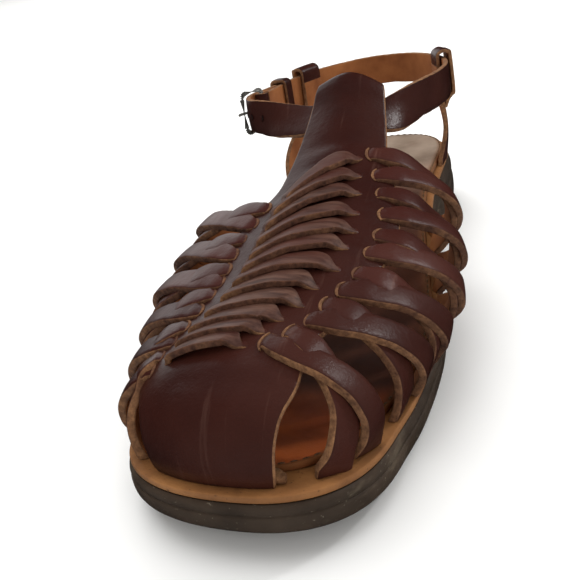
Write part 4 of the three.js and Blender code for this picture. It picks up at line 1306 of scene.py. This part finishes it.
def colour(red, green, blue):
    """Linear colour from display values of 0 to 255."""
    def linear(value):
        value /= 255
        return value / 12.92 if value <= 0.04045 else ((value + 0.055) / 1.055) ** 2.4

    return (linear(red), linear(green), linear(blue), 1.0)


class Look:
    """A material and short ways to add its nodes; tints are display values of 0 to 255."""

    def __init__(self, name):
        self.material = bpy.data.materials.new(name)
        self.material.use_nodes = True
        self.tree = self.material.node_tree
        self.shader = self.tree.nodes["Principled BSDF"]
        self.place = self.add("ShaderNodeTexCoord").outputs["Object"]

    def feed(self, node, inputs):
        for key, value in inputs.items():
            if isinstance(value, bpy.types.NodeSocket):
                self.tree.links.new(value, node.inputs[key])
            else:
                node.inputs[key].default_value = value

    def add(self, kind, inputs=None, **settings):
        node = self.tree.nodes.new(kind)
        for key, value in settings.items():
            setattr(node, key, value)
        self.feed(node, inputs or {})
        return node

    def noise(self, scale, detail=4.0, roughness=0.55, stretch=None):
        place = self.place
        if stretch:
            place = self.add("ShaderNodeMapping", {"Vector": place, "Scale": stretch}).outputs[0]
        inputs = {"Vector": place, "Scale": scale, "Detail": detail, "Roughness": roughness}
        return self.add("ShaderNodeTexNoise", inputs).outputs["Fac"]

    def span(self, value, low, high, to_low=0.0, to_high=1.0):
        inputs = {"Value": value, "From Min": low, "From Max": high, "To Min": to_low, "To Max": to_high}
        return self.add("ShaderNodeMapRange", inputs).outputs[0]

    def math(self, operation, a, b):
        return self.add("ShaderNodeMath", {0: a, 1: b}, operation=operation).outputs[0]

    def mix(self, share, a, b, blend="MIX"):
        node = self.add("ShaderNodeMix", {0: share, 6: a, 7: b}, data_type="RGBA", blend_type=blend)
        return node.outputs[2]

    def blended(self, value, low, high, dark, light):
        """Two tints mixed as a value goes from low to high."""
        return self.mix(self.span(value, low, high), colour(*dark), colour(*light))

    def mottled(self, scale, detail, dark, light):
        return self.blended(self.noise(scale, detail), 0.3, 0.7, dark, light)

    def tinted(self, base, tint, value, low, high, most):
        """A base with a tint over it where a value goes from low to high."""
        return self.mix(self.span(value, low, high, 0.0, most), base, colour(*tint))

    def gloss(self, scale, detail, low, high):
        return self.span(self.noise(scale, detail), 0.3, 0.7, low, high)

    def painted(self, name):
        return self.add("ShaderNodeAttribute", attribute_name=name).outputs["Fac"]

    def axis(self, name):
        return self.add("ShaderNodeSeparateXYZ", {"Vector": self.place}).outputs[name]

    def bump(self, height, strength, distance, under=None):
        inputs = {"Height": height, "Strength": strength, "Distance": distance}
        if under:
            inputs["Normal"] = under
        return self.add("ShaderNodeBump", inputs).outputs[0]

    def done(self, base, roughness, normal=None, specular=0.5, metallic=0.0):
        """The material, with its shader set."""
        inputs = {"Base Color": base, "Roughness": roughness, "Metallic": metallic}
        inputs["Specular IOR Level"] = specular
        if normal:
            inputs["Normal"] = normal
        self.feed(self.shader, inputs)
        return self.material


def strap_leather():
    """Waxed red-brown leather: smooth, faintly mottled and scratched, darker at its handled edges."""
    look = Look("strap_leather")
    base = look.mottled(22, 3, (48, 19, 15), (63, 29, 22))
    base = look.tinted(base, (76, 44, 36), look.noise(12, 3), 0.5, 0.75, 0.4)
    scratches = look.noise(300, 4, 0.6, stretch=(1, 0.07, 0.07))
    base = look.tinted(base, (98, 68, 58), scratches, 0.62, 0.72, 0.3)
    base = look.tinted(base, (34, 18, 16), look.painted("edge"), 0.5, 1.0, 0.4)
    tone = look.painted("shade")
    grey = look.add("ShaderNodeCombineColor", {0: tone, 1: tone, 2: tone}).outputs[0]
    base = look.mix(1.0, base, grey, "MULTIPLY")
    wrinkles = look.bump(look.noise(240, 4, 0.6), 0.4, 0.0006)
    grain = look.bump(look.noise(1300, 3), 0.35, 0.0002, wrinkles)
    return look.done(base, look.gloss(60, 3, 0.33, 0.46), grain, 0.35)


def worn_and_lit_strip_leather():
    """Leather of the strips shown on the panel: dull, faded brown, finely creased along their length, its
    lighter tone partly wear and partly painted light.
    """
    look = Look("worn_and_lit_strip_leather")
    creases = look.noise(420, 4, 0.65, stretch=(0.14, 1, 1))
    # Lighter than the strap leather: partly faded wear, partly painted light for strips that face the light.
    base = look.blended(creases, 0.34, 0.66, (54, 31, 25), (98, 69, 57))
    base = look.tinted(base, (76, 38, 30), look.noise(45, 3), 0.4, 0.65, 0.7)
    base = look.tinted(base, (108, 78, 64), look.painted("edge"), 0.5, 1.0, 0.4)
    return look.done(base, look.gloss(60, 3, 0.5, 0.66), look.bump(creases, 0.35, 0.0005), 0.3)


def raw_edge():
    """Cut edge of the leather: fibrous, tan where it is freshly worn and brown where wax has filled it."""
    look = Look("raw_edge")
    fibres = look.noise(500, 6, 0.7)
    waxed = look.blended(fibres, 0.33, 0.68, (58, 35, 27), (104, 69, 52))
    bare = look.blended(fibres, 0.33, 0.68, (96, 64, 44), (156, 114, 78))
    patches = look.span(look.noise(70, 3), 0.3, 0.7, -0.35, 0.35)
    base = look.mix(look.span(look.math("ADD", look.painted("wear"), patches), 0.2, 1.1), waxed, bare)
    return look.done(base, 0.85, look.bump(look.noise(1500, 5, 0.7), 0.6, 0.0006), 0.25)


def napped(name, scale, dark, light, depth, roughness, specular):
    """Flesh side of leather."""
    look = Look(name)
    nap = look.bump(look.noise(1800, 5, 0.7), depth, 0.0004)
    return look.done(look.mottled(scale, 5, dark, light), roughness, nap, specular)


def tan_leather():
    """Sole leather of the midsole: bare tan with darker worn patches and grime."""
    look = Look("tan_leather")
    base = look.blended(look.noise(70, 5), 0.3, 0.72, (122, 79, 44), (160, 110, 64))
    base = look.tinted(base, (94, 58, 32), look.noise(33, 6, 0.65), 0.5, 0.72, 0.75)
    base = look.tinted(base, (70, 44, 28), look.noise(700, 2), 0.66, 0.74, 0.6)
    return look.done(base, 0.72, look.bump(look.noise(1300, 5, 0.65), 0.3, 0.0004), 0.3)


def footbed_leather():
    """Insole: orange brown at the toe, lightened there as painted light for its shaded inside, worn taupe at
    the heel, painted shade under the upper and darker at its rim.
    """
    look = Look("footbed_leather")
    back = look.axis("Y")
    # The toe's orange is lighter than the leather's own tone, as painted light for the shaded inside of the
    # toe.
    toe = look.mottled(45, 5, (168, 74, 28), (204, 102, 42))
    heel = look.mottled(60, 5, (122, 104, 88), (152, 134, 118))
    base = look.mix(look.span(back, -0.02, 0.09), toe, heel)
    base = look.tinted(base, (84, 46, 26), look.noise(24, 4), 0.5, 0.72, 0.5)
    # Painted shade where the upper and its straps cover the insole, from behind the toe to in front of the
    # heel.
    painted_shade_under_upper = look.math("MULTIPLY", look.span(back, -0.102, -0.082), look.span(back, 0.085, 0.05))
    base = look.tinted(base, (40, 24, 17), painted_shade_under_upper, 0.0, 1.0, 0.85)
    # Darker band round the rim; at the toe it keeps the lit front edge below the painted light further in.
    base = look.tinted(base, (112, 72, 42), look.painted("edge"), 0.3, 1.0, 0.9)
    return look.done(base, look.gloss(50, 4, 0.6, 0.8), look.bump(look.noise(1100, 4), 0.2, 0.0003), 0.2)


def sole_rubber():
    """Moulded rubber: nearly black olive grey with rubbed lighter scuffs and dust."""
    look = Look("sole_rubber")
    base = look.mottled(50, 5, (52, 41, 32), (74, 60, 48))
    scuffs = look.noise(60, 7, 0.7, stretch=(0.6, 0.6, 2.4))
    base = look.tinted(base, (108, 96, 78), scuffs, 0.55, 0.74, 0.7)
    base = look.tinted(base, (150, 140, 122), look.noise(900, 2), 0.68, 0.76, 0.5)
    return look.done(base, look.gloss(80, 4, 0.5, 0.8), look.bump(look.noise(700, 5, 0.6), 0.25, 0.0005), 0.3)


def buckle_metal():
    """Dull plated metal with fine wear."""
    look = Look("buckle_metal")
    base = look.blended(look.noise(400, 4), 0.35, 0.65, (120, 117, 112), (156, 152, 145))
    fine = look.bump(look.noise(2200, 3), 0.08, 0.0002)
    return look.done(base, look.gloss(300, 4, 0.35, 0.55), fine, metallic=0.5)


def matt(name, scale, dark, light, roughness):
    """Plain material with no relief."""
    look = Look(name)
    return look.done(look.mottled(scale, 3, dark, light), roughness)


# The shoe

LEATHER_LOOK = strap_leather()
FLESH_LOOK = napped("flesh_side", 55, (120, 68, 36), (164, 104, 60), 0.35, 0.85, 0.25)
STRIP_LOOKS = (LEATHER_LOOK, raw_edge(), FLESH_LOOK, worn_and_lit_strip_leather())


def make_piece(name, looks, slot, replaced, build, *given, sharp=SHARP):
    part = Part()
    build(part, *given)
    part.make(name, looks, replaced, sharp)


def make_sole():
    rubber = (OUTSOLE_SIDE, tread_height, outsole_top, no_inset)
    midsole = (MIDSOLE_SIDE, midsole_low, midsole_top, no_inset)
    insole = (INSOLE_SIDE, seat_height, insole_top, insole_inset, footprint)
    for name, look, slot, replaced, shape in (
        ("rubber_sole", sole_rubber(), "sole_rubber", "outsole", rubber),
        ("tan_midsole", tan_leather(), "tan_leather", "midsole", midsole),
        ("footbed", footbed_leather(), "footbed_leather", "insole", insole),
    ):
        make_piece(name, [look], slot, replaced, sole_layer, *shape, sharp=SOLE_SHARP)
    thread = matt("thread", 900, (84, 62, 44), (140, 114, 86), 0.8)
    make_piece("footbed_seam", [thread], "footbed_leather", "insole", insole_seam)


def make_upper():
    # The panel's flesh side, darkened as painted shade for the shadow inside the shoe.
    shaded_underside = napped("panel_flesh_painted_shade", 60, (44, 27, 20), (72, 44, 30), 0.3, 0.9, 0.2)
    panel_looks = (LEATHER_LOOK, STRIP_LOOKS[RAW], shaded_underside)
    make_piece("vamp_panel", panel_looks, "strap_leather", "upper", vamp_panel)
    for order, row in enumerate(WEAVE):
        name = f"woven_strap_{order + 1:02d}"
        make_piece(name, STRIP_LOOKS, "strap_leather", "upper", woven_strap, order, row)
    make_piece("slit_edges", STRIP_LOOKS, "strap_leather", "upper", slit_lips)


def make_straps():
    make_piece("ankle_strap_leather", STRIP_LOOKS, "strap_leather", "ankle_strap", ankle_strap)
    # Near-black discs in the holes: painted shade.
    dark = matt("hole_painted_shade", 1200, (16, 11, 9), (30, 20, 16), 0.9)
    make_piece("strap_holes", [dark, LEATHER_LOOK], "strap_leather", "ankle_strap", strap_holes)
    for order, (name, quarter) in enumerate(QUARTERS.items()):
        seed = order + QUARTER_SEED
        make_piece(f"{name}_leather", STRIP_LOOKS, "strap_leather", name, quarter_strap, quarter, seed)
    make_piece("keeper_loop", STRIP_LOOKS, "strap_leather", "strap_keeper", strap_keeper)


def make_buckle():
    metal = buckle_metal()
    make_piece("buckle_wire", [metal], "buckle_metal", "buckle_frame", buckle_frame)
    make_piece("buckle_tongue", [metal], "buckle_metal", "buckle_prong", buckle_prong)


# Stage, light and camera


def facing(place, aim):
    """Turn of a lamp or camera that looks from one place at another."""
    return (Vector(aim) - Vector(place)).to_track_quat("-Z", "Y")


def make_stage():
    half = FLOOR_SIZE / 2
    mesh = bpy.data.meshes.new("floor")
    corners = [(-half, -half), (half, -half), (half, half), (-half, half)]
    mesh.from_pydata([(x, y, -FLOOR_DROP) for x, y in corners], [], [(0, 1, 2, 3)])
    mesh.materials.append(matt("floor_paper", 6, (246, 246, 245), (250, 250, 249), 0.8))
    floor = placed("floor", mesh)
    floor.visible_glossy = False
    world = bpy.data.worlds.new("studio")
    world.use_nodes = True
    sky = world.node_tree.nodes["Background"]
    sky.inputs["Color"].default_value = WORLD_COLOUR
    sky.inputs["Strength"].default_value = WORLD_LIGHT
    world.cycles_visibility.glossy = False
    bpy.context.scene.world = world


def make_lights():
    for lamp in LAMPS:
        data = bpy.data.lights.new(lamp.name, "AREA")
        data.shape = "SQUARE"
        data.size = lamp.size
        data.energy = lamp.power
        light = placed(lamp.name, data)
        light.location = lamp.place
        light.visible_glossy = lamp.shines
        light.visible_camera = False
        light.rotation_euler = facing(lamp.place, lamp.aim).to_euler()


def make_camera():
    """Camera at the photograph's angle, with colours shown as they are, without a film curve."""
    bpy.context.scene.view_settings.view_transform = "Standard"
    data = bpy.data.cameras.new("camera")
    data.lens = CAMERA_LENS
    data.sensor_width = CAMERA_SENSOR
    camera = placed("camera", data)
    place = metres(CAMERA_PLACE)
    turn = facing(place, metres(CAMERA_AIM)).to_matrix().to_4x4()
    camera.matrix_world = Matrix.Translation(place) @ turn @ Matrix.Rotation(CAMERA_ROLL, 4, "Z")
    bpy.context.scene.camera = camera


make_camera()
make_sole()
make_upper()
make_straps()
make_buckle()
make_stage()
make_lights()
